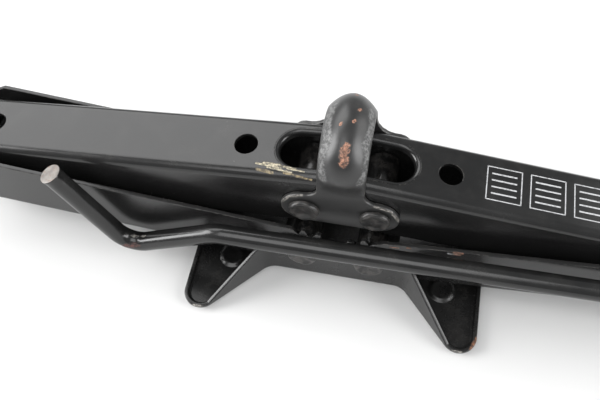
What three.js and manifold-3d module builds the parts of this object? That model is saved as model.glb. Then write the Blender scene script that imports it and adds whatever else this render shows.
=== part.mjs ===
// A vehicle's scissor jack, folded flat: four pressed-steel arms with geared inner ends, a stamped
// foot, a saddle strap on top, a lead screw between two trunnions, and a crank rod folded along the front.
// Millimetres, +Z up. The origin is on the ground under the middle of the foot, and +X runs along the screw
// towards the crank's hinge. -Y is the side that the crank rod lies on.
import * as THREE from "three";
import { mergeVertices } from "three/addons/utils/BufferGeometryUtils.js";
import Module from "manifold-3d";

// ---- linkage ----
const PIVOT_X = 20; // half the distance between the two pivots of the foot, and of the saddle
const BASE_PIVOT_Z = 26.3;
const ARM_LENGTH = 225; // from an inner pivot to the trunnion
const REST_TILT = THREE.MathUtils.degToRad(5); // slope of the line between an arm's two pivots
const WEB_TILT = THREE.MathUtils.degToRad(6.2); // slope of an arm's web
const TRUNNION_X = PIVOT_X + ARM_LENGTH * Math.cos(REST_TILT);
const TRUNNION_Z = BASE_PIVOT_Z + ARM_LENGTH * Math.sin(REST_TILT);
const HEAD_PIVOT_Z = 2 * TRUNNION_Z - BASE_PIVOT_Z;

// ---- sheet, gaps and pins ----
const SHEET = 2.5; // thickness of every pressed sheet
const GAP = 0.3; // clearance where two pieces touch
const PIN_R = 6;
const JOURNAL_R = 7; // the trunnions' turned ends
const SCREW_R = 7;
const RIVET_HEAD_R = 8.75;
const RIVET_HEAD_H = 3;
const RIVET_CHAMFER = 0.9;
const RIVET_RIM = 3; // width of a rivet head's flat rim and chamfer, round its shallow dish
const RIVET_DISH = 0.5;
const SPACER_R = 9;
const RING_R = 11; // spacer rings and end washers on the trunnions

// ---- half widths, from the middle plane outwards ----
const UPPER_OUT = 19.7;
const SADDLE_OUT = UPPER_OUT + GAP + SHEET;
const LOWER_OUT = 28.5;
const FOOT_OUT = LOWER_OUT + 0.5 + SHEET;
const CAP_OUT = 31;

// ---- arms: heights are measured square to the web, from the inner pivot ----
const UPPER = { out: UPPER_OUT, web: 25.65, edgeIn: -19, edgeOut: -11, endR: 14 };
const LOWER = { out: LOWER_OUT, web: 22, edgeIn: -21.6, edgeOut: -21.6, endR: 15.5 };
const ARM_CORNER_R = 5; // outside radius of the bends between web and flanges
const EDGE_FROM = 9; // where a flange's straight lower edge starts, past the teeth
const EDGE_BEFORE_TRUNNION = 22; // where it ends
const END_FROM = -0.62 * Math.PI; // the round end's first and last direction, seen from the trunnion
const END_TO = 0.64 * Math.PI;
const ABOVE_TEETH = [-19, 8];
const WEB_INNER_END = -18;
const LOWER_WEB_INNER_END = 14;
const LOWER_INNER_R = 23;
const LOWER_INNER_END = -19; // how far the lower arms' round inner corner reaches
const WEB_OUTER_END = 9; // how far before the trunnion axis the web stops
const WEB_HOLE_R = 6.7;
const WEB_HOLES_X = [57, 214]; // distance of the web's two round holes from the middle
const NOTCH_R = 12.5;
const NOTCH_X = 26.5; // middle of the notch's round end
const NOTCH_DEPTH = 7; // how far below the web's face the notch is cut

// ---- gear teeth on the arms' inner ends ----
const TEETH = 14; // in a full turn
const PRESSURE = THREE.MathUtils.degToRad(25);
const TOOTH_OUT_R = 22.2;
const TOOTH_ROOT_R = 17.1;
const TOOTH_THINNING = 0.15; // per flank, at the pitch circle
const TEETH_BELOW_LINE = 4;
const FLANK_STEPS = 3;

// ---- foot ----
const FOOT_HALF_X = 89.5;
const TOE_R = 10.5;
const TOE_Y = 57.5; // middle of a toe's round tip, before or behind the screw's plane
const TOE_SLOPE = THREE.MathUtils.degToRad(47.8); // how far a toe's inner edge turns out from the front wall
const TOE_FILLET_R = 12;
const FOOT_WALL_H = 39.5;
const FOOT_SHOULDER = [30, 44.5]; // the wall steps down to the toes between these distances from the middle
const TOE_ROOT_H = 33;
const TOE_ROOT_Y = 35.4;
const TOE_TIP_Y = 65.5;
const RIM_H = 5.5;
const DIMPLE_R = 8;
const DIMPLE_TOP_R = 5;
const DIMPLE_H = 1.4;
const DIMPLE = [66, 29];

// ---- saddle ----
const EAR_R = 13.5;
const STRAP_HALF = 13.2;
const NECK_FILLET_R = 7;
const REAR_SHOULDER_Z = 86.6; // the rear wall is taller than the front one
const REAR_CORNER_R = 7;
const REAR_FILLET_R = 13;
const ARCH_Z = 95.6; // middle of the arch
const STRAP_CROWN = 8.5; // how far the strap's middle stands out from its edges
const STRAP_FOOT_Z = 76;
const CROWN_FROM_Z = 84; // the crown grows out of the flat wall between these heights
const CROWN_TO_Z = 113;

// ---- screw, thrust parts and yoke ----
const BLOCK_R = 15;
const BLOCK_FLAT = 13.5; // half the distance between a trunnion's two flats
const THRUST_R = 11.5;
const WASHER_T = 1.5;
const BEARING_T = 4.5;
const COLLAR_T = 6;
const STOP_T = 4;
const SCREW_PAST_STOP = 2;
const SCREW_CHAMFER = 1.2;
const YOKE_HUB_T = 8.4;
const YOKE_HUB_R = 11;
const YOKE_LEAD_IN = 1.5; // how far behind the hub's face the cheeks start
const YOKE_CHEEK_R = 10;
const YOKE_CHEEK_T = 4;
const YOKE_GAP = 6.3; // half the fork's gap
const YOKE_PIN_R = 4;
const YOKE_PIN_AHEAD = 13; // from the hub's face to the fork pin
const YOKE_PIN_HEAD_R = 6.5;
const YOKE_PIN_HEAD_H = 2.5;

// ---- crank rod ----
const ROD_R = 5.9;
const ROD_Y = -38;
const EYE_R = 9.5;
const EYE_HALF_H = 5.9;
const ROD_KINK = [160, ROD_Y, 54];
const ROD_BEND = [-70, ROD_Y, 47];
const ROD_ELBOW = [-129.4, ROD_Y, 14];
const ROD_END = [-159.5, ROD_Y, 86];
const ROD_BEND_R = 20;
const ROD_ELBOW_R = 13;
const ROD_HINGE_BEND_R = 14;
const ROD_KINK_R = 60;
const ROD_IN_EYE = 3; // how far inside the eye's edge the rod starts

const PIN_SEGMENTS = 20;
const ARC_SEGMENTS = 6;
const BEND_SEGMENTS = 5;
const END_SEGMENTS = 14;
const QUARTER_TURN = Math.PI / 2;
const BEYOND = 5; // how far a cutter runs past what it cuts
const SIDES = { left: -1, right: 1 };

const wasm = await Module();
wasm.setup();

// ---------------------------------------------------------------- solids and geometry
function solidOf(geometry) {
  const bare = new THREE.BufferGeometry();
  bare.setAttribute("position", geometry.getAttribute("position"));
  bare.setIndex(geometry.getIndex());
  const merged = mergeVertices(bare, 1e-4);
  return new wasm.Manifold(
    new wasm.Mesh({
      numProp: 3,
      vertProperties: new Float32Array(merged.attributes.position.array),
      triVerts: new Uint32Array(merged.index.array),
    }),
  );
}

function geometryOf(solid) {
  const mesh = solid.getMesh();
  const geometry = new THREE.BufferGeometry();
  geometry.setAttribute("position", new THREE.BufferAttribute(mesh.vertProperties, 3));
  geometry.setIndex(new THREE.BufferAttribute(mesh.triVerts, 1));
  return geometry;
}

function combine(first, { add = [], cut = [], common = [] }) {
  let solid = solidOf(first);
  for (const piece of add) solid = solid.add(solidOf(piece));
  for (const piece of common) solid = solid.intersect(solidOf(piece));
  for (const piece of cut) solid = solid.subtract(solidOf(piece));
  return geometryOf(solid);
}

// A flat outline in X and Z, as a plate between two values of Y.
function plate(shape, yLow, yHigh, curveSegments = ARC_SEGMENTS) {
  const geometry = new THREE.ExtrudeGeometry(shape, {
    depth: yHigh - yLow,
    bevelEnabled: false,
    curveSegments,
  });
  return geometry.rotateX(QUARTER_TURN).translate(0, yHigh, 0);
}

// An outline in Y and Z, as a bar between two values of X.
function bar(shape, xLow, xHigh, curveSegments = ARC_SEGMENTS) {
  const geometry = new THREE.ExtrudeGeometry(shape, {
    depth: xHigh - xLow,
    bevelEnabled: false,
    curveSegments,
  });
  const turn = new THREE.Matrix4().makeBasis(
    new THREE.Vector3(0, 1, 0),
    new THREE.Vector3(0, 0, 1),
    new THREE.Vector3(1, 0, 0),
  );
  return geometry.applyMatrix4(turn).translate(xLow, 0, 0);
}

// A turned piece about the Y axis from pairs of [radius, y], closed on the axis or on itself.
function turned(profile, segments = PIN_SEGMENTS) {
  const points = profile.map(([r, y]) => new THREE.Vector2(r, y));
  return new THREE.LatheGeometry(points, segments);
}

function tube(outerR, innerR, yLow, yHigh) {
  return turned([
    [innerR, yLow],
    [outerR, yLow],
    [outerR, yHigh],
    [innerR, yHigh],
    [innerR, yLow],
  ]);
}

function rodAlongY(radius, yLow, yHigh, x = 0, z = 0) {
  const geometry = new THREE.CylinderGeometry(radius, radius, yHigh - yLow, PIN_SEGMENTS);
  return geometry.translate(x, (yLow + yHigh) / 2, z);
}

// Turned pieces on the screw's axis, made about Y and laid along X.
function alongX(geometry, x) {
  return geometry.rotateZ(-QUARTER_TURN).translate(x, 0, TRUNNION_Z);
}

function shapeOf(points) {
  return new THREE.Shape(points.map(([x, y]) => new THREE.Vector2(x, y)));
}

function arcPoints(cx, cy, r, from, to, steps = ARC_SEGMENTS) {
  return Array.from({ length: steps + 1 }, (_, i) => {
    const a = from + ((to - from) * i) / steps;
    return [cx + r * Math.cos(a), cy + r * Math.sin(a)];
  });
}

// ---------------------------------------------------------------- arms
function toothHalfAngle(radius) {
  const baseR = PIVOT_X * Math.cos(PRESSURE);
  const involute = (angle) => Math.tan(angle) - angle;
  const at = Math.acos(Math.min(1, baseR / radius));
  return Math.PI / (2 * TEETH) - TOOTH_THINNING / PIVOT_X + involute(PRESSURE) - involute(at);
}

// The toothed edge about an inner pivot, from above the line between the pivots down to under the arm.
// Angles are in the arm's own frame, where the arm points along +X and its web is on top.
function toothedEdge(firstTooth) {
  const baseR = PIVOT_X * Math.cos(PRESSURE);
  const flankStep = (_, i) => THREE.MathUtils.lerp(baseR, TOOTH_OUT_R, i / FLANK_STEPS);
  const radii = [TOOTH_ROOT_R, ...Array.from({ length: FLANK_STEPS + 1 }, flankStep)];
  const pitch = (2 * Math.PI) / TEETH;
  const points = [];
  for (let tooth = firstTooth; tooth < TEETH_BELOW_LINE; tooth += 1) {
    const middle = Math.PI + WEB_TILT + tooth * pitch;
    const flank = (r, side) => {
      const angle = middle + side * toothHalfAngle(r);
      return [r * Math.cos(angle), r * Math.sin(angle)];
    };
    radii.forEach((r) => points.push(flank(r, -1)));
    [...radii].reverse().forEach((r) => points.push(flank(r, 1)));
  }
  return points;
}

// Side view of an arm, with the inner pivot at the origin: the end at the trunnion is round.
function armOutline(arm, side) {
  const trunnion = trunnionInArm();
  const firstTooth = side > 0 ? 0 : -0.5;
  const webEnd = trunnion[0] - WEB_OUTER_END;
  const outline = [
    ...toothedEdge(firstTooth),
    [EDGE_FROM, arm.edgeIn],
    [trunnion[0] - EDGE_BEFORE_TRUNNION, arm.edgeOut],
    ...arcPoints(...trunnion, arm.endR, END_FROM, END_TO, END_SEGMENTS),
    [webEnd, arm.web],
    ...innerCorner(arm),
  ];
  return shapeOf(outline.map(([u, w]) => [side * u, w]));
}

// The corner of a flange past its inner pivot.
// The lower arms' corner is round, to clear the foot's floor as they rise.
function innerCorner(arm) {
  if (arm === UPPER) return [[WEB_INNER_END, arm.web], ABOVE_TEETH];
  const from = Math.PI - Math.asin(arm.web / LOWER_INNER_R);
  const to = Math.acos(LOWER_INNER_END / LOWER_INNER_R);
  return [...arcPoints(0, 0, LOWER_INNER_R, from, to), ABOVE_TEETH];
}

function trunnionInArm() {
  const rise = WEB_TILT - REST_TILT;
  return [ARM_LENGTH * Math.cos(rise), ARM_LENGTH * Math.sin(rise)];
}

// Section of an arm: a channel that is open downwards, with round bends.
function channelSection(arm) {
  const deep = -40;
  const bendY = arm.out - ARM_CORNER_R;
  const bendZ = arm.web - ARM_CORNER_R;
  const bends = (radius) => [
    ...arcPoints(bendY, bendZ, radius, 0, QUARTER_TURN, BEND_SEGMENTS),
    ...arcPoints(-bendY, bendZ, radius, QUARTER_TURN, 2 * QUARTER_TURN, BEND_SEGMENTS),
  ];
  const outside = [[arm.out, deep], ...bends(ARM_CORNER_R), [-arm.out, deep]];
  const inside = [[arm.out - SHEET, deep], ...bends(ARM_CORNER_R - SHEET), [SHEET - arm.out, deep]];
  return shapeOf([...outside, ...inside.reverse()]);
}

function webHole(x, arm) {
  const geometry = new THREE.CylinderGeometry(WEB_HOLE_R, WEB_HOLE_R, 4 * SHEET, PIN_SEGMENTS);
  return geometry.rotateX(QUARTER_TURN).translate(x, 0, arm.web);
}

// The place along an upper arm's web that is at distance x from the middle of the jack.
function alongWeb(x) {
  return (x - PIVOT_X - UPPER.web * Math.sin(WEB_TILT)) / Math.cos(WEB_TILT);
}

function notchCutter(side) {
  const u = alongWeb(NOTCH_X);
  const far = WEB_INNER_END - BEYOND;
  const round = arcPoints(u, 0, NOTCH_R, -QUARTER_TURN, QUARTER_TURN, END_SEGMENTS);
  const shape = shapeOf([[far, -NOTCH_R], ...round, [far, NOTCH_R]].map(([x, y]) => [side * x, y]));
  const geometry = new THREE.ExtrudeGeometry(shape, { depth: NOTCH_DEPTH + BEYOND, bevelEnabled: false });
  return geometry.translate(0, 0, UPPER.web - NOTCH_DEPTH);
}

function armGeometry(arm, side, cutters) {
  const trunnion = trunnionInArm();
  const wide = arm.out + BEYOND;
  const long = 1.3 * ARM_LENGTH;
  const webEnd = new THREE.BoxGeometry(4 * WEB_OUTER_END, 2 * (arm.out - SHEET), 4 * ARM_CORNER_R);
  webEnd.translate(side * (trunnion[0] + WEB_OUTER_END), 0, arm.web + ARM_CORNER_R);
  return combine(plate(armOutline(arm, side), -wide, wide), {
    common: [bar(channelSection(arm), -long, long)],
    cut: [
      rodAlongY(PIN_R + GAP, -wide, wide),
      rodAlongY(JOURNAL_R + GAP, -wide, wide, side * trunnion[0], trunnion[1]),
      webEnd,
      ...cutters,
    ],
  });
}

function upperArm(side) {
  const holes = WEB_HOLES_X.map((x) => webHole(side * alongWeb(x), UPPER));
  return armGeometry(UPPER, side, [...holes, notchCutter(side)]);
}

function lowerArm(side) {
  const low = -LOWER_INNER_R - BEYOND;
  const size = LOWER_WEB_INNER_END - low;
  const webCut = new THREE.BoxGeometry(size, 2 * (LOWER_OUT - ARM_CORNER_R), 4 * SHEET);
  return armGeometry(LOWER, side, [webCut.translate(side * (low + size / 2), 0, LOWER.web)]);
}

// ---------------------------------------------------------------- foot
// One quarter of the foot's outer edge, from the middle of the front wall to the middle of the end.
function footQuarter() {
  const along = [Math.cos(TOE_SLOPE), -Math.sin(TOE_SLOPE)];
  const outward = [-Math.sin(TOE_SLOPE), -Math.cos(TOE_SLOPE)];
  const tip = [FOOT_HALF_X - TOE_R, -TOE_Y];
  const touch = [tip[0] + TOE_R * outward[0], tip[1] + TOE_R * outward[1]];
  const cornerX = touch[0] - ((touch[1] + FOOT_OUT) / along[1]) * along[0];
  const reach = TOE_FILLET_R * Math.tan(TOE_SLOPE / 2);
  const filletX = cornerX - reach;
  return [
    [0, -FOOT_OUT],
    [FOOT_SHOULDER[0], -FOOT_OUT],
    ...arcPoints(filletX, -FOOT_OUT - TOE_FILLET_R, TOE_FILLET_R, QUARTER_TURN, QUARTER_TURN - TOE_SLOPE),
    ...arcPoints(...tip, TOE_R, -QUARTER_TURN - TOE_SLOPE, 0, END_SEGMENTS),
    [FOOT_HALF_X, 0],
  ];
}

function footEdge() {
  const quarter = footQuarter();
  const half = [...quarter, ...quarter.slice(0, -1).reverse().map(([x, y]) => [x, -y])];
  return [...half, ...half.slice(1, -1).reverse().map(([x, y]) => [-x, y])];
}

function footWallHeight([x, y]) {
  const [across, deep] = [Math.abs(x), Math.abs(y)];
  if (across > FOOT_HALF_X - TOE_R) return RIM_H;
  if (deep > TOE_ROOT_Y) {
    return THREE.MathUtils.mapLinear(Math.min(deep, TOE_TIP_Y), TOE_ROOT_Y, TOE_TIP_Y, TOE_ROOT_H, RIM_H);
  }
  const share = THREE.MathUtils.smoothstep(across, ...FOOT_SHOULDER);
  return THREE.MathUtils.lerp(FOOT_WALL_H, TOE_ROOT_H, share);
}

// The foot's wall: a closed ring that follows the edge, SHEET thick, with a height that changes along it.
function footWall() {
  const edge = footEdge();
  const count = edge.length;
  const inner = edge.map((point, i) => {
    const before = edge[(i + count - 1) % count];
    const after = edge[(i + 1) % count];
    const [dx, dy] = [after[0] - before[0], after[1] - before[1]];
    const length = Math.hypot(dx, dy);
    return [point[0] - (SHEET * dy) / length, point[1] + (SHEET * dx) / length];
  });
  const rings = [
    edge.map(([x, y]) => [x, y, 0]),
    edge.map((p) => [...p, footWallHeight(p)]),
    inner.map((p, i) => [...p, footWallHeight(edge[i])]),
    inner.map(([x, y]) => [x, y, 0]),
  ];
  return closedRings(rings);
}

// Joins rings of points, each like the next, into a closed skin that comes back to its first ring.
function closedRings(rings) {
  const count = rings[0].length;
  const index = [];
  for (let r = 0; r < rings.length; r += 1) {
    const next = (r + 1) % rings.length;
    for (let i = 0; i < count; i += 1) {
      const j = (i + 1) % count;
      const [a, b, c, d] = [r * count + i, r * count + j, next * count + j, next * count + i];
      index.push(a, b, c, a, c, d);
    }
  }
  const geometry = new THREE.BufferGeometry();
  geometry.setAttribute("position", new THREE.Float32BufferAttribute(rings.flat(2), 3));
  geometry.setIndex(index);
  return geometry;
}

function footGeometry() {
  const floor = new THREE.ExtrudeGeometry(shapeOf(footEdge()), { depth: SHEET, bevelEnabled: false });
  const [dimpleX, dimpleY] = DIMPLE;
  const dimpleTop = SHEET + DIMPLE_H;
  const profile = [
    [0, 0],
    [DIMPLE_R, 0],
    [DIMPLE_R, SHEET],
    [DIMPLE_TOP_R, dimpleTop],
    [0, dimpleTop],
  ];
  const dimples = [-1, 1].flatMap((sx) =>
    [-1, 1].map((sy) => turned(profile).rotateX(QUARTER_TURN).translate(sx * dimpleX, sy * dimpleY, 0)),
  );
  const wide = FOOT_OUT + BEYOND;
  const pinHoles = Object.values(SIDES).map((side) =>
    rodAlongY(PIN_R + GAP, -wide, wide, side * PIVOT_X, BASE_PIVOT_Z),
  );
  return combine(floor, { add: [footWall(), ...dimples], cut: pinHoles });
}

// ---------------------------------------------------------------- saddle
// A wall's outline, from its right half: an ear under the pivot, a top edge, and a fillet up to the strap.
function saddleWallShape(topEdge, filletR) {
  const filletX = STRAP_HALF + filletR;
  const filletZ = topEdge[topEdge.length - 1][1] + filletR;
  const right = [
    ...arcPoints(PIVOT_X, HEAD_PIVOT_Z, EAR_R, -QUARTER_TURN, 0, 7),
    ...topEdge,
    ...arcPoints(filletX, filletZ, filletR, -QUARTER_TURN, -2 * QUARTER_TURN),
  ];
  return shapeOf([...right, ...[...right].reverse().map(([x, z]) => [-x, z])]);
}

function frontWallShape() {
  const ear = arcPoints(PIVOT_X, HEAD_PIVOT_Z, EAR_R, 0, QUARTER_TURN, 7);
  return saddleWallShape(ear.slice(1), NECK_FILLET_R);
}

// The rear wall goes up straight past the ears to a pair of round shoulders.
function rearWallShape() {
  const cornerX = PIVOT_X + EAR_R - REAR_CORNER_R;
  const shoulder = arcPoints(cornerX, REAR_SHOULDER_Z - REAR_CORNER_R, REAR_CORNER_R, 0, QUARTER_TURN);
  return saddleWallShape(shoulder, REAR_FILLET_R);
}

// The strap's middle line in Y and Z: up the front wall, over the arch and down the back wall.
function strapLine() {
  const legSteps = 6;
  const archSteps = 16;
  const leg = Array.from({ length: legSteps }, (_, i) => {
    const z = THREE.MathUtils.lerp(STRAP_FOOT_Z, ARCH_Z, i / legSteps);
    return { y: -SADDLE_OUT, z, out: [-1, 0] };
  });
  const arch = arcPoints(0, ARCH_Z, SADDLE_OUT, Math.PI, 0, archSteps).map(([y, z]) => ({
    y,
    z,
    out: [y / SADDLE_OUT, (z - ARCH_Z) / SADDLE_OUT],
  }));
  const back = [...leg].reverse().map(({ y, z }) => ({ y: -y, z, out: [1, 0] }));
  return [...leg, ...arch, ...back];
}

// The strap: a band with a crowned section, whose crown fades out down both walls.
function strapGeometry() {
  const line = strapLine();
  const across = 8;
  const station = ({ y, z, out }) => {
    const crown = STRAP_CROWN * THREE.MathUtils.smoothstep(z, CROWN_FROM_Z, CROWN_TO_Z);
    const point = (t, depth) => {
      const stand = crown * (1 - t * t) - depth;
      return [STRAP_HALF * t, y + out[0] * stand, z + out[1] * stand];
    };
    const steps = Array.from({ length: across + 1 }, (_, i) => (2 * i) / across - 1);
    return [...steps.map((t) => point(t, 0)), ...[...steps].reverse().map((t) => point(t, SHEET))];
  };
  return closedTube(line.map(station));
}

// Joins sections of points into a skin with a flat cap at each end.
function closedTube(sections) {
  const count = sections[0].length;
  const index = [];
  for (let s = 0; s + 1 < sections.length; s += 1) {
    for (let i = 0; i < count; i += 1) {
      const j = (i + 1) % count;
      const [a, b] = [s * count + i, s * count + j];
      index.push(a, b, a + count, b, b + count, a + count);
    }
  }
  const last = (sections.length - 1) * count;
  for (let i = 0; i < count / 2 - 1; i += 1) {
    const [a, b, c, d] = [i, i + 1, count - 2 - i, count - 1 - i];
    index.push(a, c, b, a, d, c);
    index.push(last + a, last + b, last + c, last + a, last + c, last + d);
  }
  const geometry = new THREE.BufferGeometry();
  geometry.setAttribute("position", new THREE.Float32BufferAttribute(sections.flat(2), 3));
  geometry.setIndex(index);
  return geometry;
}

function saddleGeometry() {
  const front = plate(frontWallShape(), -SADDLE_OUT, -SADDLE_OUT + SHEET);
  const rear = plate(rearWallShape(), SADDLE_OUT - SHEET, SADDLE_OUT);
  const wide = SADDLE_OUT + BEYOND;
  const pinHoles = Object.values(SIDES).map((side) =>
    rodAlongY(PIN_R + GAP, -wide, wide, side * PIVOT_X, HEAD_PIVOT_Z),
  );
  return combine(strapGeometry(), { add: [front, rear], cut: pinHoles });
}

// ---------------------------------------------------------------- pins, spacers and rings
// A rivet whose two heads lie on a pair of walls: each head has a chamfered rim and a shallow dish.
function rivet(wallOut) {
  const seat = wallOut + GAP;
  const face = seat + RIVET_HEAD_H;
  const head = [
    [PIN_R, seat],
    [RIVET_HEAD_R, seat],
    [RIVET_HEAD_R, face - RIVET_CHAMFER],
    [RIVET_HEAD_R - RIVET_CHAMFER, face],
    [RIVET_HEAD_R - RIVET_RIM, face],
    [0, face - RIVET_DISH],
  ];
  const below = [...head].reverse().map(([r, y]) => [r, -y]);
  return turned([...below, ...head]);
}

function spacer(halfLength) {
  return tube(SPACER_R, PIN_R + GAP, -halfLength, halfLength);
}

// ---------------------------------------------------------------- trunnions and screw
function trunnionBlock() {
  const bodyHalf = UPPER_OUT - SHEET - GAP;
  const journalEnd = CAP_OUT + GAP;
  const body = rodAlongY(BLOCK_R, -bodyHalf, bodyHalf);
  const flats = new THREE.BoxGeometry(2 * BLOCK_FLAT, 2 * bodyHalf, 2 * BLOCK_R);
  const journal = rodAlongY(JOURNAL_R, -journalEnd, journalEnd);
  const bore = rodAlongY(SCREW_R + GAP, -2 * BLOCK_R, 2 * BLOCK_R).rotateZ(QUARTER_TURN);
  return combine(combine(body, { common: [flats] }), { add: [journal], cut: [bore] });
}

const RIGHT_FLAT = TRUNNION_X + BLOCK_FLAT;
const BEARING_AT = RIGHT_FLAT + GAP + WASHER_T + GAP;
const HUB_AT = BEARING_AT + BEARING_T + GAP;
const HUB_FACE = HUB_AT + YOKE_HUB_T;
const YOKE_PIN_X = HUB_FACE + YOKE_PIN_AHEAD;
const STOP_AT = -TRUNNION_X - BLOCK_FLAT - 2 * GAP - STOP_T;
const SCREW_LEFT_END = STOP_AT - SCREW_PAST_STOP;
const SCREW_RIGHT_END = HUB_FACE - 1;

function screwGeometry() {
  const length = SCREW_RIGHT_END - SCREW_LEFT_END;
  const profile = [
    [0, 0],
    [SCREW_R - SCREW_CHAMFER, 0],
    [SCREW_R, SCREW_CHAMFER],
    [SCREW_R, length - SCREW_CHAMFER],
    [SCREW_R - SCREW_CHAMFER, length],
    [0, length],
  ];
  return alongX(turned(profile), SCREW_LEFT_END);
}

function ringOnScrew(outerR, thickness, x) {
  return alongX(tube(outerR, SCREW_R + GAP, 0, thickness), x);
}

// The thrust bearing: a ring with a waist between its two races.
function bearingGeometry() {
  const bore = SCREW_R + GAP;
  const race = 1.2;
  const groove = race + 0.6;
  const waist = THRUST_R - 1.3;
  const profile = [
    [bore, 0],
    [THRUST_R, 0],
    [THRUST_R, race],
    [waist, groove],
    [waist, BEARING_T - groove],
    [THRUST_R, BEARING_T - race],
    [THRUST_R, BEARING_T],
    [bore, BEARING_T],
    [bore, 0],
  ];
  return alongX(turned(profile), BEARING_AT);
}

// A hole along Z for the fork's pin.
function yokePinHole() {
  const geometry = new THREE.CylinderGeometry(YOKE_PIN_R + GAP, YOKE_PIN_R + GAP, 4 * YOKE_CHEEK_R, 24);
  return geometry.rotateX(QUARTER_TURN).translate(YOKE_PIN_X, 0, TRUNNION_Z);
}

function yokeGeometry() {
  const cheeksFrom = HUB_AT + YOKE_LEAD_IN;
  const disc = (radius, from, to) =>
    alongX(
      turned([
        [0, from],
        [radius, from],
        [radius, to],
        [0, to],
      ]),
      HUB_AT,
    );
  const hub = disc(YOKE_HUB_R, 0, YOKE_HUB_T);
  const bore = disc(SCREW_R + GAP, -YOKE_HUB_T, 2 * YOKE_HUB_T);
  const cheekShape = shapeOf([
    [cheeksFrom, YOKE_CHEEK_R],
    [cheeksFrom, -YOKE_CHEEK_R],
    ...arcPoints(YOKE_PIN_X, 0, YOKE_CHEEK_R, -QUARTER_TURN, QUARTER_TURN, 12),
  ]);
  const cheeks = [YOKE_GAP, -YOKE_GAP - YOKE_CHEEK_T].map((z) => {
    const cheek = new THREE.ExtrudeGeometry(cheekShape, { depth: YOKE_CHEEK_T, bevelEnabled: false });
    return cheek.translate(0, 0, TRUNNION_Z + z);
  });
  const bridge = new THREE.BoxGeometry(HUB_FACE - cheeksFrom, 2 * YOKE_CHEEK_R, 2 * YOKE_GAP + 2);
  bridge.translate((HUB_FACE + cheeksFrom) / 2, 0, TRUNNION_Z);
  return combine(hub, { add: [bridge, ...cheeks], cut: [bore, yokePinHole()] });
}

function yokePinGeometry() {
  const cheekFace = YOKE_GAP + YOKE_CHEEK_T + GAP;
  const end = cheekFace + YOKE_PIN_HEAD_H;
  const chamfer = 0.8;
  const head = [
    [YOKE_PIN_R, cheekFace],
    [YOKE_PIN_HEAD_R, cheekFace],
    [YOKE_PIN_HEAD_R, end - chamfer],
    [YOKE_PIN_HEAD_R - chamfer, end],
    [0, end],
  ];
  const below = [...head].reverse().map(([r, y]) => [r, -y]);
  return turned([...below, ...head], 24).rotateX(QUARTER_TURN).translate(YOKE_PIN_X, 0, TRUNNION_Z);
}

// ---------------------------------------------------------------- crank rod
// A path of straight stretches with a round bend of the given radius at each corner.
function bentPath(corners, bendRadii) {
  const points = corners.map((c) => new THREE.Vector3(...c));
  const path = new THREE.CurvePath();
  let from = points[0];
  for (let i = 1; i + 1 < points.length; i += 1) {
    const into = points[i].clone().sub(points[i - 1]).normalize();
    const outOf = points[i + 1].clone().sub(points[i]).normalize();
    const turn = into.angleTo(outOf);
    const reach = bendRadii[i - 1] * Math.tan(turn / 2);
    const start = points[i].clone().addScaledVector(into, -reach);
    const end = points[i].clone().addScaledVector(outOf, reach);
    path.add(new THREE.LineCurve3(from, start));
    path.add(new THREE.QuadraticBezierCurve3(start, points[i], end));
    from = end;
  }
  path.add(new THREE.LineCurve3(from, points[points.length - 1]));
  return path;
}

function rodGeometry() {
  const corners = [
    [YOKE_PIN_X, ROD_IN_EYE - EYE_R, TRUNNION_Z],
    [YOKE_PIN_X, ROD_Y, TRUNNION_Z],
    ROD_KINK,
    ROD_BEND,
    ROD_ELBOW,
    ROD_END,
  ];
  const path = bentPath(corners, [ROD_HINGE_BEND_R, ROD_KINK_R, ROD_BEND_R, ROD_ELBOW_R]);
  const section = new THREE.Shape();
  section.absarc(0, 0, ROD_R, 0, 2 * Math.PI, false);
  const rod = new THREE.ExtrudeGeometry(section, {
    steps: 64,
    curveSegments: ARC_SEGMENTS,
    bevelEnabled: false,
    extrudePath: path,
  });
  const eye = new THREE.CylinderGeometry(EYE_R, EYE_R, 2 * EYE_HALF_H, PIN_SEGMENTS);
  eye.rotateX(QUARTER_TURN).translate(YOKE_PIN_X, 0, TRUNNION_Z);
  return combine(rod, { add: [eye], cut: [yokePinHole()] });
}

// ---------------------------------------------------------------- materials
function steel(name, color, roughness, metalness) {
  return new THREE.MeshStandardMaterial({ name, color, roughness, metalness });
}

const BLACK_PAINT = steel("black_paint", 0x26262a, 0.38, 0.2);
const ROD_PAINT = steel("rod_paint", 0x222225, 0.35, 0.3);
const RIVET_STEEL = steel("rivet_steel", 0x3a3836, 0.42, 0.6);
const BARE_STEEL = steel("bare_steel", 0x8c8a86, 0.35, 1.0);
const SCREW_STEEL = steel("screw_steel", 0x6d6a66, 0.4, 1.0);

// ---------------------------------------------------------------- assembly
const jack = new THREE.Group();

function place(name, geometry, material, x = 0, z = 0) {
  const mesh = new THREE.Mesh(geometry, material);
  mesh.name = name;
  mesh.position.set(x, 0, z);
  jack.add(mesh);
  return mesh;
}

place("base_foot", footGeometry(), BLACK_PAINT);
place("head_saddle", saddleGeometry(), BLACK_PAINT);

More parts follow.
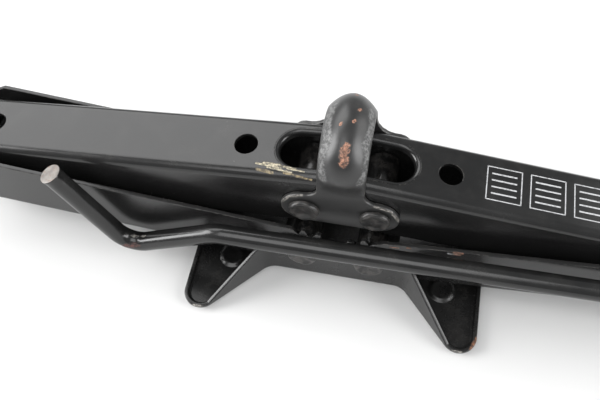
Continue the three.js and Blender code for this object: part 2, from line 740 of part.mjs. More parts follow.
for (const [label, side] of Object.entries(SIDES)) {
  const x = side * PIVOT_X;
  const outerX = side * TRUNNION_X;
  place(`base_pin_${label}`, rivet(FOOT_OUT), RIVET_STEEL, x, BASE_PIVOT_Z);
  place(`base_spacer_${label}`, spacer(LOWER_OUT - SHEET - GAP), BARE_STEEL, x, BASE_PIVOT_Z);
  place(`head_pin_${label}`, rivet(SADDLE_OUT), RIVET_STEEL, x, HEAD_PIVOT_Z);
  place(`head_spacer_${label}`, spacer(UPPER_OUT - SHEET - GAP), BARE_STEEL, x, HEAD_PIVOT_Z);

  const upper = place(`upper_arm_${label}`, upperArm(side), BLACK_PAINT, x, HEAD_PIVOT_Z);
  upper.rotation.y = side * WEB_TILT;
  // A lower arm is the same pressing, turned upside down: half a turn about the screw's axis.
  const lower = place(`lower_arm_${label}`, lowerArm(side), BLACK_PAINT, x, BASE_PIVOT_Z);
  lower.rotation.set(Math.PI, -side * WEB_TILT, 0, "YXZ");

  const block = side < 0 ? "trunnion_nut" : "trunnion_bearing";
  place(block, trunnionBlock(), BARE_STEEL, outerX, TRUNNION_Z);
  for (const [face, end] of Object.entries({ front: -1, back: 1 })) {
    const ringY = [UPPER_OUT + GAP, LOWER_OUT - SHEET - GAP].map((y) => y * end).sort((a, b) => a - b);
    const capY = [LOWER_OUT + GAP, CAP_OUT].map((y) => y * end).sort((a, b) => a - b);
    const ring = tube(RING_R, JOURNAL_R + GAP, ...ringY);
    place(`trunnion_ring_${label}_${face}`, ring, BARE_STEEL, outerX, TRUNNION_Z);
    const cap = tube(RING_R, JOURNAL_R + GAP, ...capY);
    place(`trunnion_cap_${label}_${face}`, cap, RIVET_STEEL, outerX, TRUNNION_Z);
  }
}

place("lead_screw", screwGeometry(), SCREW_STEEL);
place("screw_end_stop", ringOnScrew(THRUST_R, STOP_T, STOP_AT), BARE_STEEL);
const collarX = TRUNNION_X - BLOCK_FLAT - GAP - COLLAR_T;
place("screw_collar", ringOnScrew(THRUST_R, COLLAR_T, collarX), BARE_STEEL);
place("thrust_washer", ringOnScrew(THRUST_R, WASHER_T, RIGHT_FLAT + GAP), BARE_STEEL);
place("thrust_bearing", bearingGeometry(), BARE_STEEL);
place("screw_yoke", yokeGeometry(), BLACK_PAINT);
place("yoke_pin", yokePinGeometry(), RIVET_STEEL);
place("handle_rod", rodGeometry(), ROD_PAINT);

export default jack;
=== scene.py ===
import math
from random import Random

import bmesh
import bpy
from mathutils import Matrix, Quaternion, Vector, noise


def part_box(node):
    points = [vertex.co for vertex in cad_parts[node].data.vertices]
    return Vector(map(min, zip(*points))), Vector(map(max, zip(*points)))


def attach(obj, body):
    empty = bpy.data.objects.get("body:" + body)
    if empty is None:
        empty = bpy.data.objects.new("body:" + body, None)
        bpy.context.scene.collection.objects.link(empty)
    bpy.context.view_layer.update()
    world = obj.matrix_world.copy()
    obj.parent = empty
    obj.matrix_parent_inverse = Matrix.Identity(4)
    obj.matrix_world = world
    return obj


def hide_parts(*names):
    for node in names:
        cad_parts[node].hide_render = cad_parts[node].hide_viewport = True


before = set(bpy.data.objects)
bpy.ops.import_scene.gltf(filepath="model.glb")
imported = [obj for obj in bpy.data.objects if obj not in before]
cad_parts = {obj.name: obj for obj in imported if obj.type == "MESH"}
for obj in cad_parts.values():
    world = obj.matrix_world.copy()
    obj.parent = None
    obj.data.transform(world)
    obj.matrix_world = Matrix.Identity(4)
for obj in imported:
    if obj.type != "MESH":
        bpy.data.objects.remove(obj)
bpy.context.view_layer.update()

MM = 0.001
SHEET = 2.5
GAP = 0.3
BEYOND = 5.0  # how far a cutter runs past what it cuts
SIDES = {"left": -1, "right": 1}


def middle_of(node):
    """The middle of a CAD node's box, in millimetres."""
    low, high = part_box(node)
    return (low + high) / 2 / MM


def reach_of(node, axis):
    """How far a CAD node reaches along an axis, in millimetres."""
    return getattr(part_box(node)[1], axis) / MM


# ---------------------------------------------------------------- places, from the frame
BASE_PIVOT = middle_of("base_pin_right")
HEAD_PIVOT = middle_of("head_pin_right")
TRUNNION = middle_of("trunnion_bearing")
YOKE_PIN = middle_of("yoke_pin")
HUB_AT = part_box("screw_yoke")[0].x / MM
SCREW_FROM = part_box("lead_screw")[0].x / MM
SCREW_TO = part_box("lead_screw")[1].x / MM
PIVOT_X = HEAD_PIVOT.x
UPPER_OUT = reach_of("upper_arm_left", "y")
LOWER_OUT = reach_of("lower_arm_left", "y")
SADDLE_OUT = UPPER_OUT + GAP + SHEET
FOOT_OUT = LOWER_OUT + 0.5 + SHEET
FOOT_HALF_X = reach_of("base_foot", "x")
CAP_OUT = reach_of("trunnion_cap_left_back", "y")

# ---------------------------------------------------------------- driving dimensions, in millimetres
WEB_TILT = math.radians(6.2)  # slope of an arm's web
PIN_R = 6.0
JOURNAL_R = 7.0
SCREW_R = 7.0
SPACER_R = 9.0
RING_R = 11.0
THRUST_R = 11.5
RIVET_R = 8.75
RIVET_H = 3.0

UPPER = {"out": UPPER_OUT, "web": 25.65, "edge_in": -19.0, "edge_out": -11.0, "end_r": 14.0}
LOWER = {"out": LOWER_OUT, "web": 22.0, "edge_in": -21.6, "edge_out": -21.6, "end_r": 15.5}
ARM_CORNER_R = 5.0
EDGE_FROM = 9.0  # where a flange's straight lower edge starts, past the teeth
EDGE_BEFORE_TRUNNION = 22.0  # where it ends
END_FROM = -0.62 * math.pi  # the round end's first and last direction, seen from the trunnion
END_TO = 0.64 * math.pi
WEB_INNER_END = -18.0
WEB_OUTER_END = 9.0
LOWER_WEB_INNER_END = 14.0
LOWER_INNER_R = 23.0
WEB_HOLE_R = 6.7
WEB_HOLES_X = (57.0, 214.0)
NOTCH_X = 26.5
NOTCH_LIP_R = 14.0  # where the web starts to roll down into the notch
NOTCH_R = 11.3  # the notch's clear radius, inside the rolled lip
NOTCH_LIP_DEPTH = 4.6
NOTCH_STRAIGHT = 8.0  # from the end of the notch's straight sides to the middle of its round end

PRINT_FROM = (54.0, 78.0, 102.0)  # where each printed block starts, along the right upper arm's web
PRINT_LONG = 19.0
PRINT_HALF = 10.5
PRINT_BARS = 4  # in each block
PRINT_BAR = 0.9  # a bar's width
PRINT_FRAME = 0.6  # the width of a block's frame
PRINT_MARGIN = 3.0

TEETH = 14
PRESSURE = math.radians(25)
TOOTH_OUT_R = 22.2
TOOTH_ROOT_R = 17.1
TOOTH_THINNING = 0.15
TEETH_BELOW_LINE = 4

TOE_R = 10.5
TOE_Y = reach_of("base_foot", "y") - TOE_R
TOE_SLOPE = math.radians(47.8)
TOE_FILLET_R = 12.0
FOOT_WALL_H = reach_of("base_foot", "z")
TOE_ROOT_H = 33.0
TOE_HEIGHT_FROM = 35.4  # a toe's wall falls from its root's height to the rim between these
TOE_HEIGHT_TO = 65.5
FOOT_SHOULDER = (30.0, 43.0)  # the wall steps down to the toes between these distances from the middle
RIM_H = 5.5
FOOT_BEND_R = 4.0
DIMPLES = ((-66, -29), (66, -29), (-66, 29), (66, 29))

EAR_R = 13.5
STRAP_HALF = 13.2
NECK_FILLET_R = 7.0
REAR_SHOULDER_Z = 86.6
REAR_CORNER_R = 7.0
REAR_FILLET_R = 13.0
STRAP_CROWN = 8.5
STRAP_FOOT_Z = 76.0
CROWN_FROM_Z = 84.0  # the crown grows out of the flat wall between these heights
CROWN_TO_Z = 113.0
ARCH_Z = reach_of("head_saddle", "z") - SADDLE_OUT - STRAP_CROWN

BLOCK_R = 15.0
BLOCK_FLAT = 13.5
YOKE_HUB_T = 8.4
YOKE_HUB_R = 11.0
YOKE_CHEEK_R = 10.0
YOKE_CHEEK_T = 4.0
YOKE_GAP = 6.3
YOKE_PIN_R = 4.0

ROD_R = 5.9
ROD_Y = -38.0
EYE_R = 9.5
EYE_HALF_H = 5.9
ROD_CORNERS = (
    (YOKE_PIN.x, 3 - EYE_R, YOKE_PIN.z),
    (YOKE_PIN.x, ROD_Y, YOKE_PIN.z),
    (160, ROD_Y, 54),
    (-70, ROD_Y, 47),
    (-129.4, ROD_Y, 14),
    (-159.5, ROD_Y, 86),
)
ROD_BENDS = (14, 60, 20, 13)


# ---------------------------------------------------------------- camera
def add_camera():
    azimuth, elevation, roll = (math.radians(a) for a in (13.42, 59.11, -2.63))
    distance = 0.444
    target = Vector((-0.02524, -0.01001, 0.052))
    level = math.cos(elevation)
    back = Vector((math.sin(azimuth) * level, -math.cos(azimuth) * level, math.sin(elevation)))
    data = bpy.data.cameras.new("camera")
    data.sensor_width = 36
    data.lens = 45.416
    data.clip_start = 0.01
    camera = bpy.data.objects.new("camera", data)
    camera.location = target + distance * back
    camera.rotation_mode = "QUATERNION"
    camera.rotation_quaternion = back.to_track_quat("Z", "Y") @ Quaternion((0, 0, 1), roll)
    bpy.context.scene.collection.objects.link(camera)
    bpy.context.scene.camera = camera


# ---------------------------------------------------------------- work meshes, in millimetres
def work_object(points, faces):
    mesh = bpy.data.meshes.new("work")
    mesh.from_pydata([tuple(p) for p in points], [], faces)
    shape = bmesh.new()
    shape.from_mesh(mesh)
    bmesh.ops.remove_doubles(shape, verts=shape.verts, dist=1e-4)
    on_axis = [edge for edge in shape.edges if not edge.link_faces]
    bmesh.ops.delete(shape, geom=on_axis, context="EDGES")
    bmesh.ops.recalc_face_normals(shape, faces=shape.faces)
    shape.to_mesh(mesh)
    shape.free()
    work = bpy.data.objects.new("work", mesh)
    bpy.context.scene.collection.objects.link(work)
    return work


def skin(sections, loop=False):
    """Joins rings of points into a closed solid, with a flat cap at each end or back to the first ring."""
    count = len(sections[0])
    points = [point for section in sections for point in section]
    faces = []
    for s in range(len(sections) if loop else len(sections) - 1):
        a, b = s * count, (s + 1) % len(sections) * count
        faces += [(a + i, a + (i + 1) % count, b + (i + 1) % count, b + i) for i in range(count)]
    if not loop:
        last = (len(sections) - 1) * count
        faces += [tuple(range(count)), tuple(range(last, last + count))]
    return work_object(points, faces)


def prism(outline, axis, low, high):
    """An outline in the other two axes, as a solid between two values of this axis."""

    def section(value):
        return [(*pair[: "xyz".index(axis)], value, *pair["xyz".index(axis) :]) for pair in outline]

    return skin([section(low), section(high)])


def box(low, high):
    corners = [(low[0], low[1]), (high[0], low[1]), (high[0], high[1]), (low[0], high[1])]
    return prism(corners, "z", low[2], high[2])


def merge(pieces):
    """Puts separate work objects into the first one."""
    shape = bmesh.new()
    for piece in pieces:
        shape.from_mesh(piece.data)
    shape.to_mesh(pieces[0].data)
    shape.free()
    for piece in pieces[1:]:
        bpy.data.objects.remove(piece)
    return pieces[0]


def turned(profile, axis="y", centre=(0, 0, 0), segments=48):
    """A turned solid from pairs of radius and place along the axis, closed on the axis or on itself."""
    order = {"x": (1, 2, 0), "y": (0, 2, 1), "z": (0, 1, 2)}[axis]
    sections = []
    for i in range(segments):
        angle = 2 * math.pi * i / segments
        section = []
        for radius, along in profile:
            point = Vector(centre)
            for place, value in zip(order, (radius * math.cos(angle), radius * math.sin(angle), along)):
                point[place] += value
            section.append(point)
        sections.append(section)
    return skin(sections, loop=True)


def rod(radius, axis, centre, half, segments=48):
    return turned([(0, -half), (radius, -half), (radius, half), (0, half)], axis, centre, segments)


def pivot_holes(height, wall_out):
    """Cutters for the pair of pivot holes through two walls."""
    return [rod(PIN_R + GAP, "y", (x, 0, height), wall_out + BEYOND) for x in (-PIVOT_X, PIVOT_X)]


def tube_profile(outer, inner, low, high, chamfer=0.4):
    return [
        (inner + chamfer, low),
        (outer - chamfer, low),
        (outer, low + chamfer),
        (outer, high - chamfer),
        (outer - chamfer, high),
        (inner + chamfer, high),
        (inner, high - chamfer),
        (inner, low + chamfer),
    ]


def arc(cx, cy, radius, start, end, steps):
    angles = [start + (end - start) * i / steps for i in range(steps + 1)]
    return [(cx + radius * math.cos(a), cy + radius * math.sin(a)) for a in angles]


def blend_between(x, low, high, from_value=0.0, to_value=1.0):
    t = min(1.0, max(0.0, (x - low) / (high - low)))
    return from_value + (to_value - from_value) * t * t * (3 - 2 * t)


def settle(work):
    """Turns an object's modifiers into its mesh."""
    depsgraph = bpy.context.evaluated_depsgraph_get()
    mesh = bpy.data.meshes.new_from_object(
        work.evaluated_get(depsgraph), preserve_all_data_layers=True, depsgraph=depsgraph
    )
    work.modifiers.clear()
    work.data = mesh
    return work


def combine(work, others, operation):
    for other in others:
        step = work.modifiers.new("join", "BOOLEAN")
        step.operation = operation
        step.solver = "MANIFOLD"
        step.object = other
    settle(work)
    for other in others:
        bpy.data.objects.remove(other)
    return work


def soften(work, width=0.35, segments=2, angle=38):
    """Rounds the sharp edges, and keeps every point inside the box that the shape had before."""
    spots = [vertex.co.copy() for vertex in work.data.vertices]
    low = [min(spot[i] for spot in spots) for i in range(3)]
    high = [max(spot[i] for spot in spots) for i in range(3)]
    edge = work.modifiers.new("edge", "BEVEL")
    edge.width = width
    edge.segments = segments
    edge.angle_limit = math.radians(angle)
    edge.use_clamp_overlap = False
    edge.miter_outer = "MITER_ARC"
    settle(work)
    for vertex in work.data.vertices:
        vertex.co = [min(max(value, a), b) for value, a, b in zip(vertex.co, low, high)]
    return work


def finish_piece(work, name, body, material, replaces=(), matrix=None, sharp=32, bare=None):
    """Smooths a work object, scales it to metres and hands it to the frame.
    Faces whose middle answers to bare, in millimetres, take the second of two materials."""
    if matrix is not None:
        work.data.transform(matrix)
    for polygon in work.data.polygons:
        polygon.use_smooth = True
    work.data.set_sharp_from_angle(angle=math.radians(sharp))
    normals = work.modifiers.new("normals", "WEIGHTED_NORMAL")
    normals.keep_sharp = True
    settle(work)
    work.data.transform(Matrix.Scale(MM, 4))
    work.name = name
    work.data.name = name
    work.data.materials.clear()
    for entry in material if isinstance(material, (list, tuple)) else [material]:
        work.data.materials.append(entry)
    for polygon in work.data.polygons:
        polygon.material_index = 1 if bare and bare(polygon.center / MM) else 0
    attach(work, body)
    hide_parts(*replaces)
    return work


# ---------------------------------------------------------------- materials
class Graph:
    """A material's node tree. Every call adds a node and gives its output."""

    def __init__(self, name):
        self.material = bpy.data.materials.new(name)
        self.material.use_nodes = True
        self.tree = self.material.node_tree
        self.shader = self.tree.nodes["Principled BSDF"]
        self.place = self.node("TexCoord", output="Object")

    def feed(self, socket, value):
        if isinstance(value, bpy.types.NodeSocket):
            self.tree.links.new(value, socket)
        else:
            socket.default_value = value

    def node(self, kind, inputs=None, output=0, **settings):
        made = self.tree.nodes.new("ShaderNode" + kind)
        for key, value in settings.items():
            setattr(made, key, value)
        for key, value in (inputs or {}).items():
            self.feed(made.inputs[key], value)
        return made.outputs[output]

    def math(self, operation, a, b=0.0, clamp=False):
        return self.node("Math", {0: a, 1: b}, operation=operation, use_clamp=clamp)

    def vector(self, operation, a, b=(0, 0, 0), output=0):
        return self.node("VectorMath", {0: a, 1: b}, output=output, operation=operation)

    def stretched(self, scale):
        return self.node("Mapping", {"Vector": self.place, "Scale": scale})

    def noise(self, size, detail=3.0, place=None, roughness=0.5, offset=(0, 0, 0)):
        """Noise with features of about the given size in millimetres."""
        spot = self.vector("ADD", place or self.place, offset)
        inputs = {"Vector": spot, "Scale": 1 / (size * MM), "Detail": detail, "Roughness": roughness}
        return self.node("TexNoise", inputs)

    def ramp(self, value, low, high, to_low=0.0, to_high=1.0):
        inputs = {"Value": value, "From Min": low, "From Max": high, "To Min": to_low, "To Max": to_high}
        return self.node("MapRange", inputs, interpolation_type="SMOOTHSTEP")

    def mix(self, share, a, b):
        return self.node("Mix", {0: share, 6: a, 7: b}, output=2, data_type="RGBA")

    def lerp(self, share, a, b):
        return self.node("Mix", {0: share, 2: a, 3: b}, data_type="FLOAT")

    def edges(self, size):
        """Near 1 where the surface turns sharply within the given size in millimetres."""
        soft = self.node("Bevel", {"Radius": size * MM}, samples=6)
        face = self.node("NewGeometry", output="Normal")
        return self.math("SUBTRACT", 1.0, self.vector("DOT_PRODUCT", soft, face, output="Value"))

    def upward(self):
        return self.node("SeparateXYZ", {0: self.node("NewGeometry", output="Normal")}, output="Z")

    def distance_to(self, start, end):
        """Distance of the shaded point from a line between two points in millimetres."""
        a, b = Vector(start) * MM, Vector(end) * MM
        from_start = self.vector("SUBTRACT", self.place, a)
        if (b - a).length < 1e-6:
            return self.vector("LENGTH", from_start, output="Value")
        span = b - a
        share = self.vector("DOT_PRODUCT", from_start, span / span.length_squared, output="Value")
        share = self.math("ADD", share, 0.0, clamp=True)
        along = self.node("VectorMath", {0: span, "Scale": share}, operation="SCALE")
        return self.vector("LENGTH", self.vector("SUBTRACT", from_start, along), output="Value")

    def mark(self, start, end, radius, ragged, grain):
        """A patch round a line: 1 inside, ragged at its border by the grain noise. It serves for wear and
        stains, and also for painted highlights and painted shade.
        """
        distance = self.math("DIVIDE", self.distance_to(start, end), radius * MM)
        uneven = self.math("MULTIPLY", self.math("SUBTRACT", grain, 0.5), ragged)
        return self.ramp(self.math("ADD", distance, uneven), 1.0, 0.6)

    def bump(self, height, depth, strength=1.0, under=None):
        inputs = {"Height": height, "Distance": depth * MM, "Strength": strength}
        if under is not None:
            inputs["Normal"] = under
        return self.node("Bump", inputs)

    def finish(self, colour, roughness, normal, **plain):
        self.feed(self.shader.inputs["Base Color"], colour)
        self.feed(self.shader.inputs["Roughness"], roughness)
        self.feed(self.shader.inputs["Normal"], normal)
        for key, value in plain.items():
            self.feed(self.shader.inputs[key.replace("_", " ")], value)
        return self.material


def grey(level, tint=(1.0, 1.0, 1.0)):
    return (*(level * t for t in tint), 1.0)


COPPER = (0.27, 0.135, 0.088, 1.0)
# a light grey for the strap's flanks: paint rubbed thin there, and a painted highlight for the light they
# catch
BURNISH_AND_SHEEN = (0.105, 0.105, 0.104, 1.0)
RUST = (0.19, 0.085, 0.045, 1.0)
CREAM = (0.36, 0.32, 0.23, 1.0)
OCHRE = (0.20, 0.155, 0.085, 1.0)
DARK_RED = (0.080, 0.035, 0.030, 1.0)
CHALK = (0.42, 0.42, 0.43, 1.0)
DUST = (0.20, 0.19, 0.175, 1.0)
WORN = (0.24, 0.225, 0.205, 1.0)
# a darker black for the middle of the foot's floor: painted shade under the arms and the screw
UNDER_ARMS_SHADE = (0.006, 0.0055, 0.005, 1.0)
PALE_INK = (0.46, 0.46, 0.47, 1.0)


def black_paint(name, marks=(), level=0.0085, gloss=0.22, wear=1.0, dust=0.5, edge_size=0.8):
    """Glossy black enamel with orange peel, a little dust, specks, and paint rubbed thin along the edges.
    A mark is a start, an end, a radius, a raggedness and a colour."""
    g = Graph(name)
    cloud = g.noise(45, 4)
    grain = g.noise(2.2, 3, roughness=0.6)
    fine = g.noise(0.45, 3)
    colour = g.mix(g.ramp(cloud, 0.35, 0.7), grey(level), grey(level * 1.5, (1.0, 0.99, 0.98)))
    roughness = g.lerp(g.ramp(cloud, 0.3, 0.72), gloss - 0.03, gloss + 0.05)
    roughness = g.math("ADD", roughness, g.math("MULTIPLY", g.math("SUBTRACT", grain, 0.5), 0.1))

    settled = g.ramp(g.noise(14, 5, roughness=0.7), 0.44, 0.72)
    dusty = g.math("MULTIPLY", g.math("MULTIPLY", g.ramp(g.upward(), 0.25, 0.95), settled), 0.07 * dust)
    colour = g.mix(dusty, colour, DUST)

    cells = g.tree.nodes.new("ShaderNodeTexVoronoi")
    g.feed(cells.inputs["Vector"], g.place)
    g.feed(cells.inputs["Scale"], 1 / (5.5 * MM))
    chosen = g.math("GREATER_THAN", g.node("SeparateColor", {0: cells.outputs["Color"]}), 0.9)
    speck = g.math("MULTIPLY", g.ramp(cells.outputs["Distance"], 0.05, 0.025), chosen)
    colour = g.mix(g.math("MULTIPLY", speck, 0.6 * dust), colour, CHALK)

    edge = g.ramp(g.edges(edge_size), 0.02, 0.16)
    rubbed = g.math("MULTIPLY", edge, g.ramp(g.noise(5, 5, roughness=0.75), 0.46, 0.64))
    rubbed = g.math("MULTIPLY", rubbed, 0.6 * wear)
    colour = g.mix(rubbed, colour, WORN)
    roughness = g.lerp(rubbed, roughness, 0.5)

    dent_depth = rubbed
    flecks = g.noise(1.5, 5, roughness=0.7, offset=(0.1, 0.2, 0.3))
    shades = g.ramp(g.noise(1.9, 4, roughness=0.7), 0.4, 0.6)
    streaks = g.noise(0.9, 3, place=g.stretched((0.16, 1, 1)), roughness=0.7) if marks else grain
    # Marks are wear and stains, and some are painted highlight or painted shade; each also dents the bump a
    # little.
    for start, end, radius, ragged, tint in marks:
        streaked = (Vector(end) - Vector(start)).length > 4
        patch = g.mark(start, end, radius, ragged, streaks if streaked else g.noise(1.4, 5, roughness=0.75))
        patch = g.math("MULTIPLY", patch, g.ramp(flecks, 0.38, 0.52, 0.2, 1.0))
        colour = g.mix(patch, colour, g.mix(shades, [1.5 * c for c in tint], [0.4 * c for c in tint]))
        roughness = g.lerp(patch, roughness, 0.55)
        dent_depth = g.math("MAXIMUM", dent_depth, patch)

    peel = g.bump(g.noise(2.6, 2), 0.05, 0.3)
    skin_bump = g.bump(fine, 0.015, 0.4, under=peel)
    normal = g.bump(g.math("SUBTRACT", 1.0, dent_depth), 0.12, 0.6, under=skin_bump)
    return g.finish(colour, roughness, normal, Specular_IOR_Level=0.5)


def steel(name, level, tint, metallic, gloss, rust=0.25, scale=1.0):
    """Bare, oiled or thinly painted steel: dull in patches, with light rust and dark grime."""
    g = Graph(name)
    cloud = g.noise(9 * scale, 5, roughness=0.6)
    grain = g.noise(0.8 * scale, 4, roughness=0.7)
    colour = g.mix(g.ramp(cloud, 0.3, 0.7), grey(level, tint), grey(level * 0.6, tint))
    rusty = g.math("MULTIPLY", g.ramp(g.noise(3.2 * scale, 6, roughness=0.75), 0.52, 0.68), rust)
    colour = g.mix(rusty, colour, RUST)
    grimy = g.math("MULTIPLY", g.ramp(g.edges(0.8), 0.02, 0.2), g.ramp(cloud, 0.62, 0.38))
    colour = g.mix(g.math("MULTIPLY", grimy, 0.5), colour, grey(0.03))
    roughness = g.lerp(g.ramp(grain, 0.35, 0.7), gloss, gloss + 0.22)
    roughness = g.lerp(rusty, roughness, 0.85)
    normal = g.bump(grain, 0.06, 0.5)
    return g.finish(colour, roughness, normal, Metallic=metallic)


def chipped_paint(name, level=0.012, gloss=0.26, chips=0.5):
    """Black paint over forged steel, with the steel showing in chips along the rims."""
    g = Graph(name)
    grain = g.noise(1.6, 5, roughness=0.7)
    rim = g.ramp(g.edges(0.7), 0.015, 0.12)
    chip = g.math("MULTIPLY", g.ramp(grain, 0.52, 0.6), g.lerp(rim, 0.12 * chips, 1.6 * chips), clamp=True)
    bright, brown = grey(0.26, (1.0, 0.96, 0.9)), grey(0.09, (1.0, 0.85, 0.72))
    painted = g.mix(g.ramp(g.noise(5, 4), 0.42, 0.6), grey(level), grey(level * 3.0, (1.0, 0.93, 0.88)))
    colour = g.mix(chip, painted, g.mix(g.ramp(g.noise(0.5, 3), 0.35, 0.65), bright, brown))
    roughness = g.lerp(chip, g.lerp(grain, gloss - 0.04, gloss + 0.12), 0.45)
    uneven = g.bump(g.noise(1.9, 3), 0.12, 0.5)
    normal = g.bump(g.math("SUBTRACT", 1.0, chip), 0.1, 0.7, under=uneven)
    return g.finish(colour, roughness, normal, Metallic=g.math("MULTIPLY", chip, 0.6))


def printed_ink():
    """A thin pale print, rubbed through in places."""
    g = Graph("print_ink")
    patchy = g.ramp(g.noise(1.1, 4, roughness=0.7), 0.3, 0.52)
    colour = g.mix(patchy, [0.35 * c for c in PALE_INK], PALE_INK)
    return g.finish(colour, g.lerp(patchy, 0.3, 0.5), g.bump(g.noise(0.4, 2), 0.01, 0.4))


def floor_finish():
    g = Graph("paper_floor")
    colour = g.mix(g.noise(160, 3), grey(0.64, (1.0, 0.997, 0.99)), grey(0.67, (1.0, 0.999, 0.995)))
    return g.finish(colour, g.lerp(g.noise(30, 3), 0.7, 0.85), g.bump(g.noise(0.6, 3), 0.02, 0.3))


# ---------------------------------------------------------------- arms
def tooth_half_angle(radius):
    def involute(angle):
        return math.tan(angle) - angle

    at = math.acos(min(1.0, PIVOT_X * math.cos(PRESSURE) / radius))
    return math.pi / (2 * TEETH) - TOOTH_THINNING / PIVOT_X + involute(PRESSURE) - involute(at)


def toothed_edge(first_tooth):
    """The teeth about an inner pivot, from the line between the pivots down to under the arm."""
    base_r = PIVOT_X * math.cos(PRESSURE)
    steps = 6
    radii = [TOOTH_ROOT_R] + [base_r + (TOOTH_OUT_R - base_r) * i / steps for i in range(steps + 1)]
    points = []
    for i in range(math.ceil(TEETH_BELOW_LINE - first_tooth)):
        middle = math.pi + WEB_TILT + (first_tooth + i) * 2 * math.pi / TEETH
        flank = [(r, tooth_half_angle(r)) for r in radii]
        around = [(r, middle - half) for r, half in flank]
        around += [(r, middle + half) for r, half in reversed(flank)]
        points += [(r * math.cos(a), r * math.sin(a)) for r, a in around]
    return points


def trunnion_in_arm():
    length = math.hypot(TRUNNION.x - PIVOT_X, TRUNNION.z - BASE_PIVOT.z)
    rise = WEB_TILT - math.atan2(TRUNNION.z - BASE_PIVOT.z, TRUNNION.x - PIVOT_X)
    return length * math.cos(rise), length * math.sin(rise)


def inner_corner(arm):
    above_teeth = (-19, 8)
    if arm is UPPER:
        return [(WEB_INNER_END, arm["web"]), above_teeth]
    start = math.pi - math.asin(arm["web"] / LOWER_INNER_R)
    end = math.acos(-PIVOT_X / LOWER_INNER_R) - 0.05
    return [*arc(0, 0, LOWER_INNER_R, start, end, 12), above_teeth]


def arm_outline(arm, side):
    u, w = trunnion_in_arm()
    outline = [
        *toothed_edge(0 if side > 0 else -0.5),
        (EDGE_FROM, arm["edge_in"]),
        (u - EDGE_BEFORE_TRUNNION, arm["edge_out"]),
        *arc(u, w, arm["end_r"], END_FROM, END_TO, 36),
        (u - WEB_OUTER_END, arm["web"]),
        *inner_corner(arm),
    ]
    return [(side * x, z) for x, z in outline]


def channel_section(arm):
    """Section of an arm: a channel that is open downwards, with round bends."""
    out, top, deep, steps = arm["out"], arm["web"] - ARM_CORNER_R, -40, 10
    inner = ARM_CORNER_R - SHEET
    middle = out - ARM_CORNER_R
    return [
        (out, deep),
        *arc(middle, top, ARM_CORNER_R, 0, math.pi / 2, steps),
        *arc(-middle, top, ARM_CORNER_R, math.pi / 2, math.pi, steps),
        (-out, deep),
        (SHEET - out, deep),
        *arc(-middle, top, inner, math.pi, math.pi / 2, steps),
        *arc(middle, top, inner, math.pi / 2, 0, steps),
        (out - SHEET, deep),
    ]


def along_web(x):
    """The place along an upper arm's web that is at distance x from the jack's middle."""
    return (x - PIVOT_X - UPPER["web"] * math.sin(WEB_TILT)) / math.cos(WEB_TILT)


def notch_path(radius, side):
    """The notch's edge at a radius, as pairs of point and direction towards the notch's middle."""
    u = along_web(NOTCH_X)
    path = [((WEB_INNER_END, -radius), (0, 1)), ((u - NOTCH_STRAIGHT, -radius), (0, 1))]
    steps = 28
    for i in range(steps + 1):
        angle = -math.pi / 2 + math.pi * i / steps
        inward = (-math.cos(angle), -math.sin(angle))
        path.append(((u - radius * inward[0], -radius * inward[1]), inward))
    path += [((u - NOTCH_STRAIGHT, radius), (0, -1)), ((WEB_INNER_END, radius), (0, -1))]
    return [((side * x, y), (side * dx, dy)) for (x, y), (dx, dy) in path]


def notch_cutter(side):
    beyond = 10
    edge = [point for point, _ in notch_path(NOTCH_LIP_R, side)]
    far = [(side * (WEB_INNER_END - beyond), NOTCH_LIP_R), (side * (WEB_INNER_END - beyond), -NOTCH_LIP_R)]
    return prism(edge + far, "z", UPPER["web"] - 3 * SHEET, UPPER["web"] + SHEET)


def notch_lip(side):
    """The web's rolled edge round the notch: sheet that turns down through a quarter circle."""
    roll = NOTCH_LIP_R - NOTCH_R
    hair = 0.01
    section = [(-0.3, -hair)]
    turns = [math.pi / 2 * i / 8 for i in range(1, 9)]
    section += [(roll * math.sin(t), roll * (math.cos(t) - 1)) for t in turns]
    section += [(roll, -NOTCH_LIP_DEPTH), (roll - SHEET, -NOTCH_LIP_DEPTH), (roll - SHEET, -SHEET + hair)]
    section += [(-0.3, -SHEET + hair)]
    rings = []
    for (x, y), (dx, dy) in notch_path(NOTCH_LIP_R, side):
        rings.append([(x + dx * far, y + dy * far, UPPER["web"] + rise) for far, rise in section])
    return skin(rings)


def arm_pressing(arm, side):
    u, w = trunnion_in_arm()
    wide = arm["out"] + 5
    work = prism(arm_outline(arm, side), "y", -wide, wide)
    combine(work, [prism(channel_section(arm), "x", -300, 300)], "INTERSECT")
    cutters = [
        rod(PIN_R + GAP, "y", (0, 0, 0), wide),
        rod(JOURNAL_R + GAP, "y", (side * u, 0, w), wide),
    ]
    ends = sorted((side * (u - WEB_OUTER_END), side * (u + 3 * WEB_OUTER_END)))
    flat = arm["out"] - SHEET
    cutters.append(box((ends[0], -flat, arm["web"] - ARM_CORNER_R), (ends[1], flat, arm["web"] + 15)))
    if arm is UPPER:
        spots = [(side * along_web(x), 0, arm["web"]) for x in WEB_HOLES_X]
        cutters += [rod(WEB_HOLE_R, "z", spot, 2 * SHEET) for spot in spots]
        cutters.append(notch_cutter(side))
    else:
        ends = sorted((side * (WEB_INNER_END - 8), side * LOWER_WEB_INNER_END))
        flat = arm["out"] - ARM_CORNER_R
        cutters.append(box((ends[0], -flat, arm["web"] - 5), (ends[1], flat, arm["web"] + 5)))
    combine(work, cutters, "DIFFERENCE")
    if arm is UPPER:
        combine(work, [notch_lip(side)], "UNION")
    return soften(work, 0.4)


